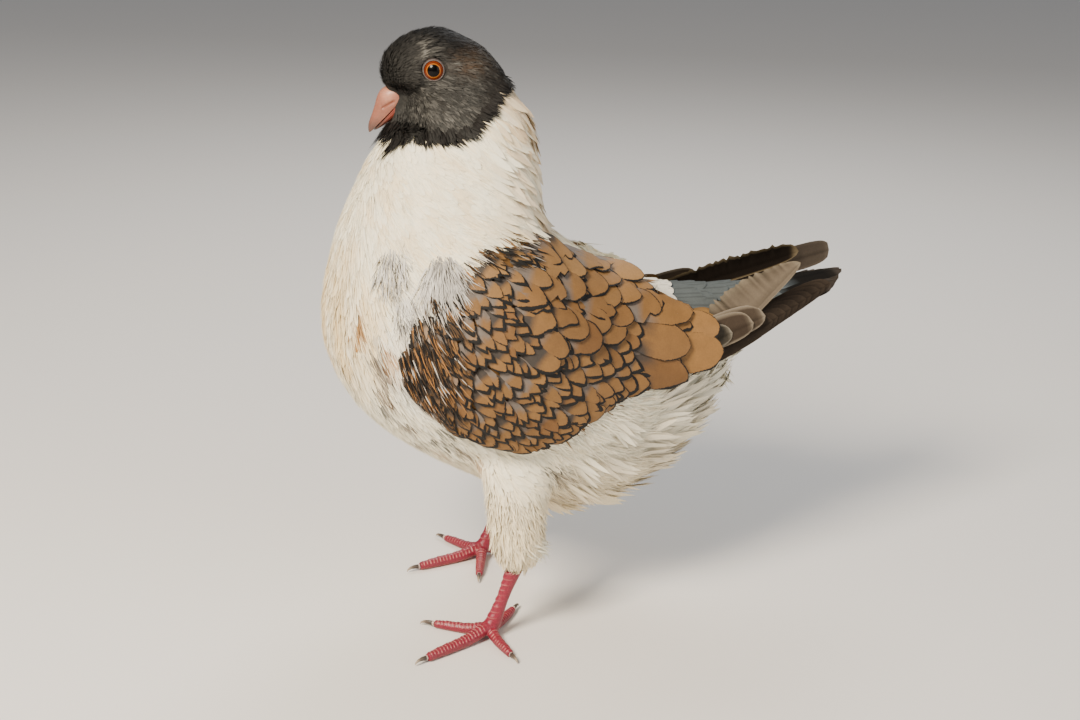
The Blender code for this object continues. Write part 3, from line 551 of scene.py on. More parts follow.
def wingTree(survey):
    grid = survey["points"]
    stations, rows, _ = grid.shape
    faces = []
    for i in range(stations - 1):
        for j in range(rows - 1):
            a = i * rows + j
            quad = (a, a + 1, a + rows + 1, a + rows)
            faces.append(quad if survey["side"] < 0 else quad[::-1])
    return BVHTree.FromPolygons(grid.reshape(-1, 3).tolist(), faces)


surveys = {word: surveyWing(word, side) for word, side in (("left", 1.0), ("right", -1.0))}
print("wings surveyed")


# the coverts' own border on the wing's side: places along the bird, each with its height

wingBorder = {
    "top": ((-89.0, 113.0), (-84.0, 126.0), (-80.0, 135.0), (-75.5, 144.0), (-66.5, 148.0), (-61.0, 151.5),
            (-49.5, 154.5), (-43.5, 157.0), (-34.0, 158.5), (-20.0, 150.0), (-1.0, 136.5), (3.0, 131.5),
            (9.0, 129.0), (28.0, 122.5), (37.0, 115.5)),
    "bottom": ((-89.0, 112.0), (-86.0, 101.0), (-73.0, 87.0), (-65.6, 80.5), (-54.8, 76.0), (-46.0, 76.5),
               (-38.9, 78.5), (-32.6, 82.7), (-25.4, 86.7), (-17.4, 91.0), (-8.7, 94.0), (0.7, 96.8),
               (14.8, 98.0), (27.7, 105.4), (37.0, 111.0)),
    "skinBelow": 6.0, "marginReach": 40.0,
}


def borderHeight(which, y):
    places, heights = zip(*wingBorder[which])
    return np.interp(y, places, heights)


def inWing(points, margin=0.0):
    # share of belonging to the folded wing: near its surveyed surface and inside the coverts' border
    inside = np.zeros(len(points))
    y, z = points[:, 1], points[:, 2]
    angles = np.arctan2(z - wingSurvey["axisHeight"], np.abs(points[:, 0]))
    reach = np.hypot(points[:, 0], z - wingSurvey["axisHeight"])
    rim = margin * wingBorder["marginReach"]
    for survey in surveys.values():
        low = np.interp(y, survey["stations"], survey["lows"])
        high = np.interp(y, survey["stations"], survey["highs"])
        share = np.clip((angles - low) / (high - low), 0.0, 1.0)
        surface = wingPoint(survey, np.clip(y, wingSurvey["front"], wingSurvey["rear"]), share)
        full = np.hypot(surface[:, 0], surface[:, 2] - wingSurvey["axisHeight"])
        within = (angles > low + margin) & (angles < high - margin) & (points[:, 0] * survey["side"] > 8.0)
        within &= (y > wingSurvey["front"] + 1.0) & (y < wingSurvey["rear"])
        within &= (reach > full - wingBorder["skinBelow"])
        within &= (z < borderHeight("top", y) - survey["drop"] - rim) & (z > borderHeight("bottom", y) + rim)
        inside = np.maximum(inside, within.astype(float))
    return inside


# markings and painted shade shared by the skin and the coat

coatColours = {
    "cream": "f7f2dc", "stainAndWarmShade": "e8cc92", "cool": "e6e6e6", "tan": "ab7c40", "brown": "5b412b",
    "soot": "14110f", "grey": "77736e", "crown": "100f0e", "forehead": "282725", "cheek": "30302e",
    "behindEye": "3f3226", "brow": "686661", "capEdgeShadow": "080706", "nape": "211d19", "bronze": "7d5b33",
    "bronzeDeep": "654322", "down": "c4c0b8", "slate": "4d5358", "vent": "b7a88f", "tuft": "c9bda8",
}
headCap = {"behind": -15.0, "height": 208.5, "halfLength": 9.4, "halfHeight": 11.0}
hoodEdge = {"behind": (-25.0, -12.0, -6.0, 6.0, 12.0, 16.0, 20.0, 24.0), "soft": 0.8, "ripple": 0.8,
            "height": (186.4, 185.2, 185.0, 185.4, 187.2, 193.0, 198.6, 203.5)}
# soft spots of the head: middle and reach, both as way behind the neck's line and height
headSpots = {"lore": ((-4.0, 196.5), (6.0, 5.5)), "brow": ((-6.0, 214.0), (3.6, 3.2)),
             "behindEye": ((9.0, 211.0), (5.0, 4.5)), "forehead": ((-19.5, 206.0), (5.0, 7.0))}
# place, reach, colour, strength of the small marks on the breast and under it
breastMarks = (
    ((26.0, -86.0, 144.5), 4.0, "grey", 0.6), ((27.5, -88.0, 137.0), 4.0, "grey", 0.6),
    ((21.0, -100.5, 122.5), 3.8, "tan", 1.0), ((20.2, -101.0, 118.5), 3.0, "tan", 0.9),
    ((28.0, -95.5, 113.5), 4.6, "grey", 0.85), ((33.0, -92.1, 114.0), 4.0, "tan", 0.8),
    ((29.0, -93.6, 106.0), 4.4, "brown", 0.75), ((25.5, -92.0, 96.0), 4.4, "brown", 0.95),
    ((20.7, -92.3, 90.9), 3.6, "soot", 0.8), ((25.0, -84.5, 84.5), 3.8, "brown", 0.85),
    ((28.8, -75.0, 79.0), 4.2, "soot", 0.85), ((30.5, -66.0, 74.0), 4.0, "brown", 0.8),
    ((30.0, -57.5, 69.5), 3.8, "tan", 0.6), ((34.5, -72.5, 82.0), 3.6, "soot", 0.75),
    ((39.6, -31.0, 66.0), 3.4, "nape", 0.85), ((37.4, -27.5, 61.5), 3.0, "brown", 0.7),
    ((15.9, -78.6, 73.6), 3.4, "brown", 0.7), ((21.3, -71.1, 70.8), 3.4, "tan", 0.7),
)


def overHoodEdge(points):
    behind, _ = headMeasures(points)
    edge = np.interp(behind, hoodEdge["behind"], hoodEdge["height"])
    return points[:, 2] - edge - hoodEdge["ripple"] * np.sin(0.9 * points[:, 0] + 1.1 * points[:, 1])


def hoodShare(points):
    return ramp(-hoodEdge["soft"], hoodEdge["soft"], overHoodEdge(points))


def bodyLayers(points, odd):
    # colour and share of each marking and each painted shade, in the order they are laid over the cream
    x, y, z = points[:, 0], points[:, 1], points[:, 2]
    front = ramp(-88.0, -103.0, y + 0.35 * (z - 130.0) * (z > 130.0)) * ramp(80.0, 110.0, z)
    streak = 0.5 + 0.5 * np.sin(0.42 * x + 0.03 * z)
    yield "stainAndWarmShade", np.clip(front * (0.25 + 0.5 * streak) + 0.1 * odd, 0, 1)
    silk = clumps(points * np.array((1.0, 1.0, 0.3)), 3.5, 21.0)
    yield "stainAndWarmShade", np.clip(0.08 + 0.5 * silk, 0, 0.4) * ramp(95.0, 120.0, z)
    bands = clumps(points * np.array((0.5, 1.0, 0.5)), 4.0, 11.0)
    nape = ramp(-53.0, -38.0, y) * ramp(140.0, 158.0, z)
    yield "tan", np.clip((0.22 + 0.5 * bands + 0.12 * odd) * nape, 0, 0.75)
    # painted warm shade and bounced light: the lower belly and the boots turn warmer and darker towards the
    # floor
    yield "stainAndWarmShade", 0.4 * ramp(80.0, 45.0, z) * ramp(60.0, 40.0, y)
    flank = ramp(25.0, 36.0, np.abs(x)) * ramp(150.0, 135.0, z) * ramp(-70.0, -88.0, y)
    yield "cool", 0.5 * flank
    for place, reach, colour, strength in breastMarks:
        away = points - np.array(place)
        if np.any(x < 0):
            # the far side has the same marks, a little shifted
            mirrored = points * np.array((-1.0, 1.0, 1.0)) - np.array(place) + np.array((1.5, 1.0, 2.5))
            nearer = np.linalg.norm(mirrored, axis=1) < np.linalg.norm(away, axis=1)
            away = np.where(nearer[:, None], mirrored, away)
        distance = np.linalg.norm(away * np.array((1.0, 1.0, 0.62)), axis=1)
        yield colour, strength * ramp(reach * 1.15, reach * 0.35, distance + 1.2 * odd)
    yield "slate", ramp(33.0, 37.0, y) * ramp(100.0, 112.0, z)
    # painted shade: the belly under the wing's rear turns greyer towards the floor
    yield "grey", 0.22 * ramp(-10.0, 20.0, y) * ramp(100.0, 80.0, z)
    wing = inWing(points)
    yield "bronze", wing
    yield "down", 0.8 * wing * ramp(-70.0, -84.0, y)


def hoodLayers(points, odd):
    # the same for the dark hood, over the cheek's grey
    z = points[:, 2]
    behind, _ = headMeasures(points)
    onHead = np.where(z > 182.0)[0]
    mottle = np.zeros(len(points))
    fine = np.zeros(len(points))
    mottle[onHead] = clumps(points[onHead] * np.array((1.0, 0.6, 1.6)), 4.5)
    fine[onHead] = clumps(points[onHead] * np.array((1.0, 0.55, 1.9)), 1.5, 9.0)
    yield "nape", np.clip(0.25 * mottle + 0.5 * fine, 0, 0.65)
    yield "brow", np.clip(-0.55 * fine - 0.3 * mottle, 0, 0.6) * ramp(-14.0, -6.0, behind)
    yield "brow", np.clip((0.22 - 0.3 * fine) * blob(behind, z, *headSpots["lore"]), 0, 1)
    yield "crown", np.clip(ramp(210.5, 214.5, z - 0.12 * behind) + 0.12 * odd, 0, 1)
    yield "nape", np.clip(0.8 * ramp(9.0, 20.0, behind) + 0.12 * odd, 0, 1)
    yield "brow", np.clip((0.6 - 1.1 * fine) * blob(behind, z, *headSpots["brow"]), 0, 1)
    yield "behindEye", np.clip((0.8 + 0.8 * fine) * blob(behind, z, *headSpots["behindEye"]), 0, 1)
    cap = ((behind - headCap["behind"]) / headCap["halfLength"]) ** 2
    cap = np.sqrt(cap + ((z - headCap["height"]) / headCap["halfHeight"]) ** 2)
    yield "forehead", ramp(1.04, 0.94, cap) * (0.8 + 0.3 * mottle).clip(0.0, 1.0)
    # painted shadow: a dark line along the lower border of the cap, where its feathers overlap the cheek
    yield "capEdgeShadow", 0.8 * np.exp(-((cap - 0.98) / 0.06) ** 2) * (z < 207.0)
    lower = ramp(190.5, 186.5, z)
    yield "soot", np.clip(0.5 * lower + 0.2 * odd * lower, 0, 1)
    yield "grey", ((odd > 2.4) & (z < 194.0) & (behind < 0.0)).astype(float)


def markingsAndShade(points, wild=0.0):
    count = len(points)
    odd = chance.normal(0.0, 1.0, count) * wild
    tints = np.tile(paint(coatColours["cream"]), (count, 1))
    for colour, share in bodyLayers(points, odd):
        tints = mixTo(tints, paint(coatColours[colour]), share)
    head = np.tile(paint(coatColours["cheek"]), (count, 1))
    for colour, share in hoodLayers(points, odd):
        head = mixTo(head, paint(coatColours[colour]), share)
    tints = tints + (head - tints) * hoodShare(points)[:, None]
    return np.clip(tints * (1.0 + 0.05 * odd[:, None]), 0.0, 1.0)


# how the coat lies: off the bill on the head, down the neck, back along the body, down the legs
coatFlow = {"rear": (-35.0, 25.0), "rearBelow": (125.0, 150.0), "rearLift": 1.3, "bill": (-15.0, 197.0),
            "headFall": -0.45, "head": (182.0, 192.0), "boot": (0.0, 0.25, -1.0)}
bootLook = {"margin": 1.5, "side": (1.1, 0.95), "top": (66.0, 58.0)}


def lie(points, outs):
    y, z = points[:, 1], points[:, 2]
    rear = ramp(*coatFlow["rear"], y) * (1.0 - ramp(*coatFlow["rearBelow"], z))
    falls = -1.0 + coatFlow["rearLift"] * rear
    flow = np.stack([np.zeros(len(points)), np.ones(len(points)), falls], axis=1)
    fromBill = unit(points - headPoint(*coatFlow["bill"])) + np.array((0.0, 0.0, coatFlow["headFall"]))
    onHead = ramp(*coatFlow["head"], z)[:, None]
    flow = flow * (1.0 - onHead) + fromBill * onHead
    boot = inBoot(points)[:, None]
    flow = flow * (1.0 - boot) + np.array(coatFlow["boot"]) * boot
    return tangent(flow, outs)


def inBoot(points):
    inside = np.zeros(len(points))
    for word in ("left", "right"):
        middle, half = nodeSpan("thigh_" + word)
        half = half + bootLook["margin"]
        away = np.hypot((points[:, 0] - middle[0]) / half[0], (points[:, 1] - middle[1]) / half[1])
        inside = np.maximum(inside, ramp(*bootLook["side"], away) * ramp(*bootLook["top"], points[:, 2]))
    return inside


# one skin under the coat, in place of the nodes of flesh

skinLook = {"swell": 0.4, "voxel": 1.25, "bodyDepth": 1.7, "headDepth": 0.45, "napeDepth": 1.2,
            "headHeights": (180.0, 192.0), "napeBehind": (1.0, 10.0), "napeHeights": (205.0, 212.0),
            "smoothRounds": 6, "lastRounds": 2, "wingCut": 18.0, "faceTop": (203.5, 198.5),
            "faceLow": (185.0, 189.0), "faceBehind": (-24.0, -20.0, -16.0, -12.0, -8.0, -4.0),
            "faceHalf": (1.4, 2.6, 3.9, 5.0, 8.2, 12.0)}


def buildSkin():
    parts = []
    for name in ("torso", "neck", "head", "thigh_left", "thigh_right", "wing_left", "wing_right"):
        part = nodeCopy(name)
        if name.startswith("wing"):
            whole = part.verts[:] + part.edges[:] + part.faces[:]
            cut = bmesh.ops.bisect_plane(part, geom=whole, plane_co=(0.0, skinLook["wingCut"] * mm, 0.0),
                                         plane_no=(0.0, 1.0, 0.0), clear_outer=True)
            rim = [edge for edge in cut["geom_cut"] if isinstance(edge, bmesh.types.BMEdge)]
            bmesh.ops.holes_fill(part, edges=rim)
            bmesh.ops.triangulate(part, faces=part.faces)
        part.normal_update()
        for vert in part.verts:
            vert.co += vert.normal * skinLook["swell"] * mm
        parts.append(part)
    skin, work = oneSurface("pigeonSkin", parts, skinLook["voxel"])
    relax(work, skinLook["smoothRounds"])
    work.normal_update()
    places = np.array([vert.co for vert in work.verts]) / mm
    headward = ramp(*skinLook["headHeights"], places[:, 2])
    depths = skinLook["bodyDepth"] + (skinLook["headDepth"] - skinLook["bodyDepth"]) * headward
    depths += (skinLook["napeDepth"] * ramp(*skinLook["napeBehind"], headMeasures(places)[0])
               * ramp(*skinLook["napeHeights"], places[:, 2]))
    for vert, depth in zip(work.verts, depths.tolist()):
        vert.co -= vert.normal * (depth + skinLook["swell"]) * mm
    narrowFace(work)
    relax(work, skinLook["lastRounds"])
    bmesh.ops.triangulate(work, faces=work.faces)
    bmesh.ops.recalc_face_normals(work, faces=work.faces)
    work.to_mesh(skin.data)
    work.free()
    skin.data.shade_smooth()
    return skin


def narrowFace(work):
    # the face gets narrower towards the bill
    turn = math.radians(headPose["turn"])
    outward = Vector((math.cos(turn), -math.sin(turn), 0.0))
    places = np.array([vert.co for vert in work.verts]) / mm
    behind, out = headMeasures(places)
    most = np.interp(behind, skinLook["faceBehind"], skinLook["faceHalf"])
    hold = ramp(*skinLook["faceTop"], places[:, 2]) * ramp(*skinLook["faceLow"], places[:, 2])
    over = np.where(behind < skinLook["faceBehind"][-1], np.maximum(np.abs(out) - most, 0.0), 0.0)
    for vert, shift in zip(work.verts, (np.copysign(over, out) * hold).tolist()):
        vert.co -= outward * shift * mm


# skin with thin plumage showing through: a soft matt surface with the coat's own markings, darkened in grain
# as painted shade deep in the coat
def skinMaterial():
    material, tree, shader = startMaterial("plumedSkin", {"Roughness": 0.85, "Specular IOR Level": 0.2})
    tint = addNode(tree, "ShaderNodeAttribute", {"attribute_name": "tint"})
    place = addNode(tree, "ShaderNodeTexCoord")
    fine = addNode(tree, "ShaderNodeTexNoise", inputs=grainOf(place, 1.4, 4.0))
    # painted shade: the tint is kept to 0.66 to 0.9 of the coat's colour
    shade = addNode(tree, "ShaderNodeMapRange", inputs=between(fine.outputs["Fac"], 0.66, 0.9))
    shaded = addNode(tree, "ShaderNodeVectorMath", {"operation": "SCALE"},
                     {0: tint.outputs["Color"], "Scale": shade.outputs[0]})
    tree.links.new(shaded.outputs[0], shader.inputs["Base Color"])
    bump = addNode(tree, "ShaderNodeBump", inputs={"Strength": 0.4, "Distance": 0.3 * mm,
                                                   "Height": fine.outputs["Fac"]})
    tree.links.new(bump.outputs[0], shader.inputs["Normal"])
    return material


skin = buildSkin()
setTints(skin.data, markingsAndShade(meshPoints(skin.data)))
finishPiece(skin, skinMaterial(), ("torso", "neck", "head", "thigh_left", "thigh_right"))
skinTree, skinPoints, skinFaces = treeOf(skin.data)
print("skin ready:", len(skinFaces), "triangles")


# bare parts: a mesh tinted point by point, with fine grain from its material

def bareMaterial(name, look):
    material, tree, shader = startMaterial(name, {
        "Roughness": look["roughness"], "Specular IOR Level": look["shine"],
        "Subsurface Weight": look["soft"],
        "Subsurface Scale": 1.0 * mm, "Subsurface Radius": (1.0, 0.35, 0.2)})
    tint = addNode(tree, "ShaderNodeAttribute", {"attribute_name": "tint"})
    place = addNode(tree, "ShaderNodeTexCoord")
    fine = addNode(tree, "ShaderNodeTexNoise", inputs=grainOf(place, look["grain"], 3.0))
    cells = addNode(tree, "ShaderNodeTexVoronoi", {"feature": "DISTANCE_TO_EDGE"},
                    {"Vector": place.outputs["Object"], "Scale": 1.0 / (look["cell"] * mm)})
    furrow = addNode(tree, "ShaderNodeMapRange",
                     inputs=between(cells.outputs["Distance"], 1.0 - look["cellShade"], 1.0, 0.0, 0.12))
    shade = addNode(tree, "ShaderNodeMapRange",
                    inputs=between(fine.outputs["Fac"], 1.0 - look["grainShade"], 1.0 + look["grainShade"]))
    both = addNode(tree, "ShaderNodeMath", {"operation": "MULTIPLY"},
                   {0: furrow.outputs[0], 1: shade.outputs[0]})
    shaded = addNode(tree, "ShaderNodeVectorMath", {"operation": "SCALE"},
                     {0: tint.outputs["Color"], "Scale": both.outputs[0]})
    tree.links.new(shaded.outputs[0], shader.inputs["Base Color"])
    bump = addNode(tree, "ShaderNodeBump", inputs={"Strength": look["bump"], "Distance": 0.1 * mm,
                                                   "Height": both.outputs[0]})
    tree.links.new(bump.outputs[0], shader.inputs["Normal"])
    return material


bareLooks = {
    # soft wet rim of naked skin round the eye
    "eyelidSkin": {"grain": 0.35, "grainShade": 0.16, "cell": 0.45, "cellShade": 0.25, "bump": 0.5,
                   "roughness": 0.5, "shine": 0.4, "soft": 0.1},
    # smooth horn over living tissue, with a powdery bloom at its base
    "billHorn": {"grain": 0.9, "grainShade": 0.07, "cell": 1.6, "cellShade": 0.04, "bump": 0.25,
                 "roughness": 0.42, "shine": 0.45, "soft": 0.15},
    # dry scaled skin over blood-red tissue
    "scaledLegSkin": {"grain": 0.6, "grainShade": 0.14, "cell": 0.7, "cellShade": 0.22, "bump": 0.5,
                      "roughness": 0.4, "shine": 0.5, "soft": 0.1},
    # hard worn horn, darker at the root
    "clawHorn": {"grain": 0.5, "grainShade": 0.15, "cell": 2.0, "cellShade": 0.05, "bump": 0.3,
                 "roughness": 0.35, "shine": 0.5, "soft": 0.0},
}
bareFinish = {name: bareMaterial(name, look) for name, look in bareLooks.items()}


# eyes: a ball with a raised cornea, its rings of colour by the distance from the pupil

eyeLook = {"radius": 4.3, "behind": -1.4, "height": 208.2, "out": 11.2, "bulge": 0.12, "bulgeReach": 3.1,
           "reachScale": 0.25, "fibre": 0.35,
           "rings": ((0.0, "010101"), (2.12, "010101"), (2.22, "8c5218"), (2.42, "9a5e1e"), (2.56, "5e2208"),
                     (2.9, "5a2008"), (3.1, "6e300e"), (3.25, "200a05"), (3.6, "0e0604"))}
lidLook = {"profile": ((3.25, 1.9), (3.34, 2.72), (3.44, 2.95), (3.6, 2.92), (3.78, 2.65), (3.95, 2.15),
                       (4.1, 1.4), (3.6, 1.0)), "steps": 72, "wrinkle": 0.07, "wrinkles": 26.0,
           "loose": (3.3, 3.6), "inner": (3.5, 3.25), "outside": (3.65, 4.0),
           "rim": "4a2418", "ring": "5d5452", "outer": "413b38"}


def eyeTurn(side):
    middle = headPoint(eyeLook["behind"], eyeLook["height"], side * eyeLook["out"])
    out = Vector(headPoint(0.0, 0.0, side) - headPoint(0.0, 0.0, 0.0)).normalized()
    up = Vector((0.0, 0.0, 1.0))
    right = up.cross(out)
    turn = Matrix((right, up, out)).transposed().to_4x4()
    return Matrix.Translation(Vector(middle) * mm) @ turn


def eyeMaterial():
    # wet ball: iris fibres run outwards under a clear glossy cornea
    material, tree, shader = startMaterial("wetEye", {
        "Roughness": 0.35, "Specular IOR Level": 0.05, "Coat Weight": 0.22, "Coat Roughness": 0.04})
    spot = addNode(tree, "ShaderNodeAttribute", {"attribute_name": "spot"})
    flat = addNode(tree, "ShaderNodeVectorMath", {"operation": "MULTIPLY"},
                   {0: spot.outputs["Vector"], 1: (1.0, 1.0, 0.0)})
    away = addNode(tree, "ShaderNodeVectorMath", {"operation": "LENGTH"}, {0: flat.outputs[0]})
    spoke = addNode(tree, "ShaderNodeVectorMath", {"operation": "NORMALIZE"}, {0: flat.outputs[0]})
    fibres = addNode(tree, "ShaderNodeTexNoise",
                     inputs={"Vector": spoke.outputs[0], "Scale": 9.0, "Detail": 3.0})
    ragged = addNode(tree, "ShaderNodeMath", {"operation": "MULTIPLY_ADD"},
                     {0: fibres.outputs["Fac"], 1: eyeLook["fibre"], 2: away.outputs["Value"]})
    scale = eyeLook["reachScale"]
    share = addNode(tree, "ShaderNodeMath", {"operation": "MULTIPLY_ADD"},
                    {0: ragged.outputs[0], 1: scale, 2: -0.5 * eyeLook["fibre"] * scale})
    rings = addNode(tree, "ShaderNodeValToRGB", inputs={"Fac": share.outputs[0]})
    stops = rings.color_ramp.elements
    while len(stops) < len(eyeLook["rings"]):
        stops.new(1.0)
    for stop, (reach, colour) in zip(stops, eyeLook["rings"]):
        stop.position = reach * scale
        stop.color = srgb(colour)
    tree.links.new(rings.outputs["Color"], shader.inputs["Base Color"])
    return material


def intoEye(work, side, name):
    # from millimetres about the eye's middle, looking along Z, to the eye's place on the head
    bmesh.ops.scale(work, vec=(mm, mm, mm), verts=work.verts)
    bmesh.ops.transform(work, matrix=eyeTurn(side), verts=work.verts)
    mesh = meshFrom(work, name)
    mesh.shade_smooth()
    return mesh


def buildEyes():
    wet = eyeMaterial()
    for word, side in (("left", 1.0), ("right", -1.0)):
        work = bmesh.new()
        bmesh.ops.create_uvsphere(work, u_segments=48, v_segments=32, radius=eyeLook["radius"])
        for vert in work.verts:
            away = math.hypot(vert.co.x, vert.co.y) / eyeLook["bulgeReach"]
            if vert.co.z > 0.0 and away < 1.0:
                vert.co.z += eyeLook["bulge"] * (1.0 - away * away) ** 2
        local = np.array([vert.co[:] for vert in work.verts])
        mesh = intoEye(work, side, "eyeBall")
        setLayer(mesh, "spot", "FLOAT_VECTOR", local)
        finishPiece(meshPiece("eyeBall" + word.capitalize(), mesh), wet, ("eye_" + word,))

        work = bmesh.new()
        line = [work.verts.new((reach, 0.0, out)) for reach, out in lidLook["profile"]]
        edges = [work.edges.new((line[n], line[(n + 1) % len(line)])) for n in range(len(line))]
        bmesh.ops.spin(work, geom=line + edges, cent=(0.0, 0.0, 0.0), axis=(0.0, 0.0, 1.0),
                       angle=2.0 * math.pi, steps=lidLook["steps"], use_merge=True)
        bmesh.ops.remove_doubles(work, verts=work.verts, dist=0.001)
        bmesh.ops.recalc_face_normals(work, faces=work.faces)
        tints = []
        for vert in work.verts:
            reach = math.hypot(vert.co.x, vert.co.y)
            angle = math.atan2(vert.co.y, vert.co.x)
            fold = math.sin(lidLook["wrinkles"] * angle + 2.0 * math.sin(5.0 * angle))
            loose, inner, outer = (float(ramp(*lidLook[zone], np.array(reach)))
                                   for zone in ("loose", "inner", "outside"))
            vert.co.z += lidLook["wrinkle"] * fold * loose
            # painted shade in the wrinkles' troughs and painted light on their crests of the ring skin
            colour = paint(lidLook["ring"]) * (1.0 + 0.12 * fold)
            colour = colour + (paint(lidLook["rim"]) - colour) * inner
            tints.append(colour + (paint(lidLook["outer"]) - colour) * outer)
        mesh = intoEye(work, side, "eyeLids")
        setTints(mesh, np.array(tints))
        finishPiece(meshPiece("eyeLids" + word.capitalize(), mesh), bareFinish["eyelidSkin"])


# bill: sections from its root to its tip, top and cutting edge as places behind the neck's line and heights

billLook = {
    "upper": ((-13.5, 200.2, -8.0, 198.3, 4.6), (-17.0, 200.6, -10.0, 197.6, 4.7),
              (-20.4, 199.8, -12.4, 196.4, 4.6), (-22.3, 197.4, -15.1, 194.3, 4.2),
              (-23.0, 194.4, -17.3, 191.7, 3.7), (-23.8, 191.4, -19.6, 189.1, 3.0),
              (-24.9, 188.4, -21.8, 186.7, 2.2), (-25.7, 185.9, -23.5, 184.9, 1.4),
              (-25.4, 183.2, -24.9, 183.4, 0.35)),
    "lower": ((-8.5, 198.0, -8.4, 193.6, 5.2), (-12.0, 196.2, -11.0, 192.2, 4.5),
              (-15.0, 193.8, -13.4, 190.7, 3.9), (-17.3, 191.0, -15.9, 188.8, 3.2),
              (-19.5, 188.5, -18.6, 187.0, 2.4), (-21.6, 186.2, -21.0, 185.2, 1.6),
              (-23.6, 184.3, -23.4, 184.1, 0.35)),
    "sides": 16, "dome": 0.85, "hollow": 0.10, "flank": 0.9, "finer": 3,
    "nostril": ((-20.0, 192.9), (-16.0, 195.3)), "slit": 0.42, "slitDepth": 0.55, "growth": 0.02,
    "cere": ((-18.2, 197.4), 2.5, 0.5), "hornPink": "8c5a49", "cerePink": "b07b65", "rootBrown": "74371e",
    "tip": "523c36", "ridge": "33231e", "lowerRed": "843d30",
}


def buildBill(name, rows, flip, node):
    work = bmesh.new()
    loops = []
    for topBehind, topHeight, edgeBehind, edgeHeight, half in rows:
        ring = bmesh.ops.create_circle(work, segments=billLook["sides"], radius=1.0)["verts"]
        for number, vert in enumerate(ring):
            angle = 2.0 * math.pi * number / billLook["sides"]
            rise = math.cos(angle) * flip
            share = abs(rise) ** billLook["dome"] if rise > 0 else -billLook["hollow"] * abs(rise)
            if flip > 0:
                behind = edgeBehind + (topBehind - edgeBehind) * share
                height = edgeHeight + (topHeight - edgeHeight) * share
            else:
                behind = topBehind + (edgeBehind - topBehind) * share
                height = topHeight + (edgeHeight - topHeight) * share
            out = half * math.copysign(abs(math.sin(angle)) ** billLook["flank"], math.sin(angle))
            vert.co = Vector(headPoint(behind, height, out)) * mm
        loops.append(ring)
    for first, second in zip(loops, loops[1:]):
        for number in range(billLook["sides"]):
            following = (number + 1) % billLook["sides"]
            work.faces.new((first[number], first[following], second[following], second[number]))
    bmesh.ops.holes_fill(work, edges=[edge for edge in work.edges if edge.is_boundary])
    bmesh.ops.recalc_face_normals(work, faces=work.faces)
    piece = meshPiece(name, meshFrom(work, name))
    smooth = piece.modifiers.new("rounded", "SUBSURF")
    smooth.levels = smooth.render_levels = billLook["finer"]
    applied(piece)
    work = bmesh.new()
    work.from_mesh(piece.data)
    work.normal_update()
    places = np.array([vert.co[:] for vert in work.verts]) / mm
    behind, out = headMeasures(places)
    height = places[:, 2]
    tints = np.tile(paint(billLook["hornPink"]), (len(places), 1))
    shift = np.zeros(len(places))
    if flip > 0:
        start, end = (np.array(end) for end in billLook["nostril"])
        run = end - start
        here = np.stack([behind, height], axis=1) - start
        share = np.clip(here @ run / (run @ run), 0.0, 1.0)
        off = np.linalg.norm(here - share[:, None] * run, axis=1)
        slit = np.exp(-(off / billLook["slit"]) ** 2) * ramp(1.2, 2.4, np.abs(out))
        (cereBehind, cereHeight), cereReach, cereRise = billLook["cere"]
        cere = np.exp(-((behind - cereBehind) ** 2 + (height - cereHeight) ** 2) / cereReach ** 2)
        cleft = ramp(0.0, 1.2, np.abs(out))
        shift += cereRise * cere * (0.35 + 0.65 * cleft) - billLook["slitDepth"] * slit
        tints = mixTo(tints, paint(billLook["cerePink"]), np.clip(1.25 * cere, 0, 1))
        # painted shade: the nostril slit is darkened with the root's brown
        tints = mixTo(tints, paint(billLook["rootBrown"]), 0.75 * slit)
        ridge = ramp(0.9, 0.3, np.abs(out)) * ramp(193.0, 187.0, height)
        tints = mixTo(tints, paint(billLook["ridge"]), 0.55 * ridge)
    else:
        tints = mixTo(tints, paint(billLook["lowerRed"]), ramp(-23.0, -17.0, behind))
    tints = mixTo(tints, paint(billLook["tip"]), 0.85 * ramp(190.5, 185.0, height))
    root = ramp(-14.5, -11.0, behind - 0.5 * (height - 197.0))
    tints = mixTo(tints, paint(billLook["rootBrown"]), 0.7 * root)
    grown = billLook["growth"] * np.sin(7.0 * (behind - height))
    for number, vert in enumerate(work.verts):
        vert.co += vert.normal * float(shift[number] + grown[number]) * mm
    work.to_mesh(piece.data)
    work.free()
    piece.data.shade_smooth()
    setTints(piece.data, tints)
    finishPiece(piece, bareFinish["billHorn"], (node,))
    return piece


# feet: the nodes' own shapes made finer, with plates across the toes and down the shank

footLook = {
    "left": {"ground": (35.0, -52.75), "toes": ((-39.0, 27.7), (23.0, 35.9), (96.0, 24.2), (-133.0, 28.2))},
    "right": {"ground": (-35.0, -31.75),
              "toes": ((68.0, 27.0), (11.0, 34.7), (-63.0, 27.1), (-174.0, 30.4))},
    "voxel": 0.36, "plate": 1.45, "plateRaise": 0.2, "plateLevel": 0.35, "shankPlate": 2.1,
    "shankRaise": 0.8, "toeFrom": (2.5, 4.5), "toeBelow": (9.0, 7.0), "shankFrom": (6.0, 9.0),
    "red": "93233a", "deepRed": "6c1528", "pale": "cf8f86", "pad": "9c5249",
}
clawLook = {"voxel": 0.22, "cuticle": "cfb7ac", "root": "39302b", "middle": "54483f", "tip": "ab9a85"}


def finerCopy(name, nodes, voxel):
    piece, work = oneSurface(name, [nodeCopy(node) for node in nodes], voxel)
    relax(work, 2)
    work.normal_update()
    places = np.array([vert.co[:] for vert in work.verts]) / mm
    outs = np.array([vert.normal[:] for vert in work.verts])
    return piece, work, places, outs


def keepMoved(piece, work, places, tints):
    for number, vert in enumerate(work.verts):
        vert.co = Vector(places[number]) * mm
    work.to_mesh(piece.data)
    work.free()
    piece.data.shade_smooth()
    setTints(piece.data, tints)


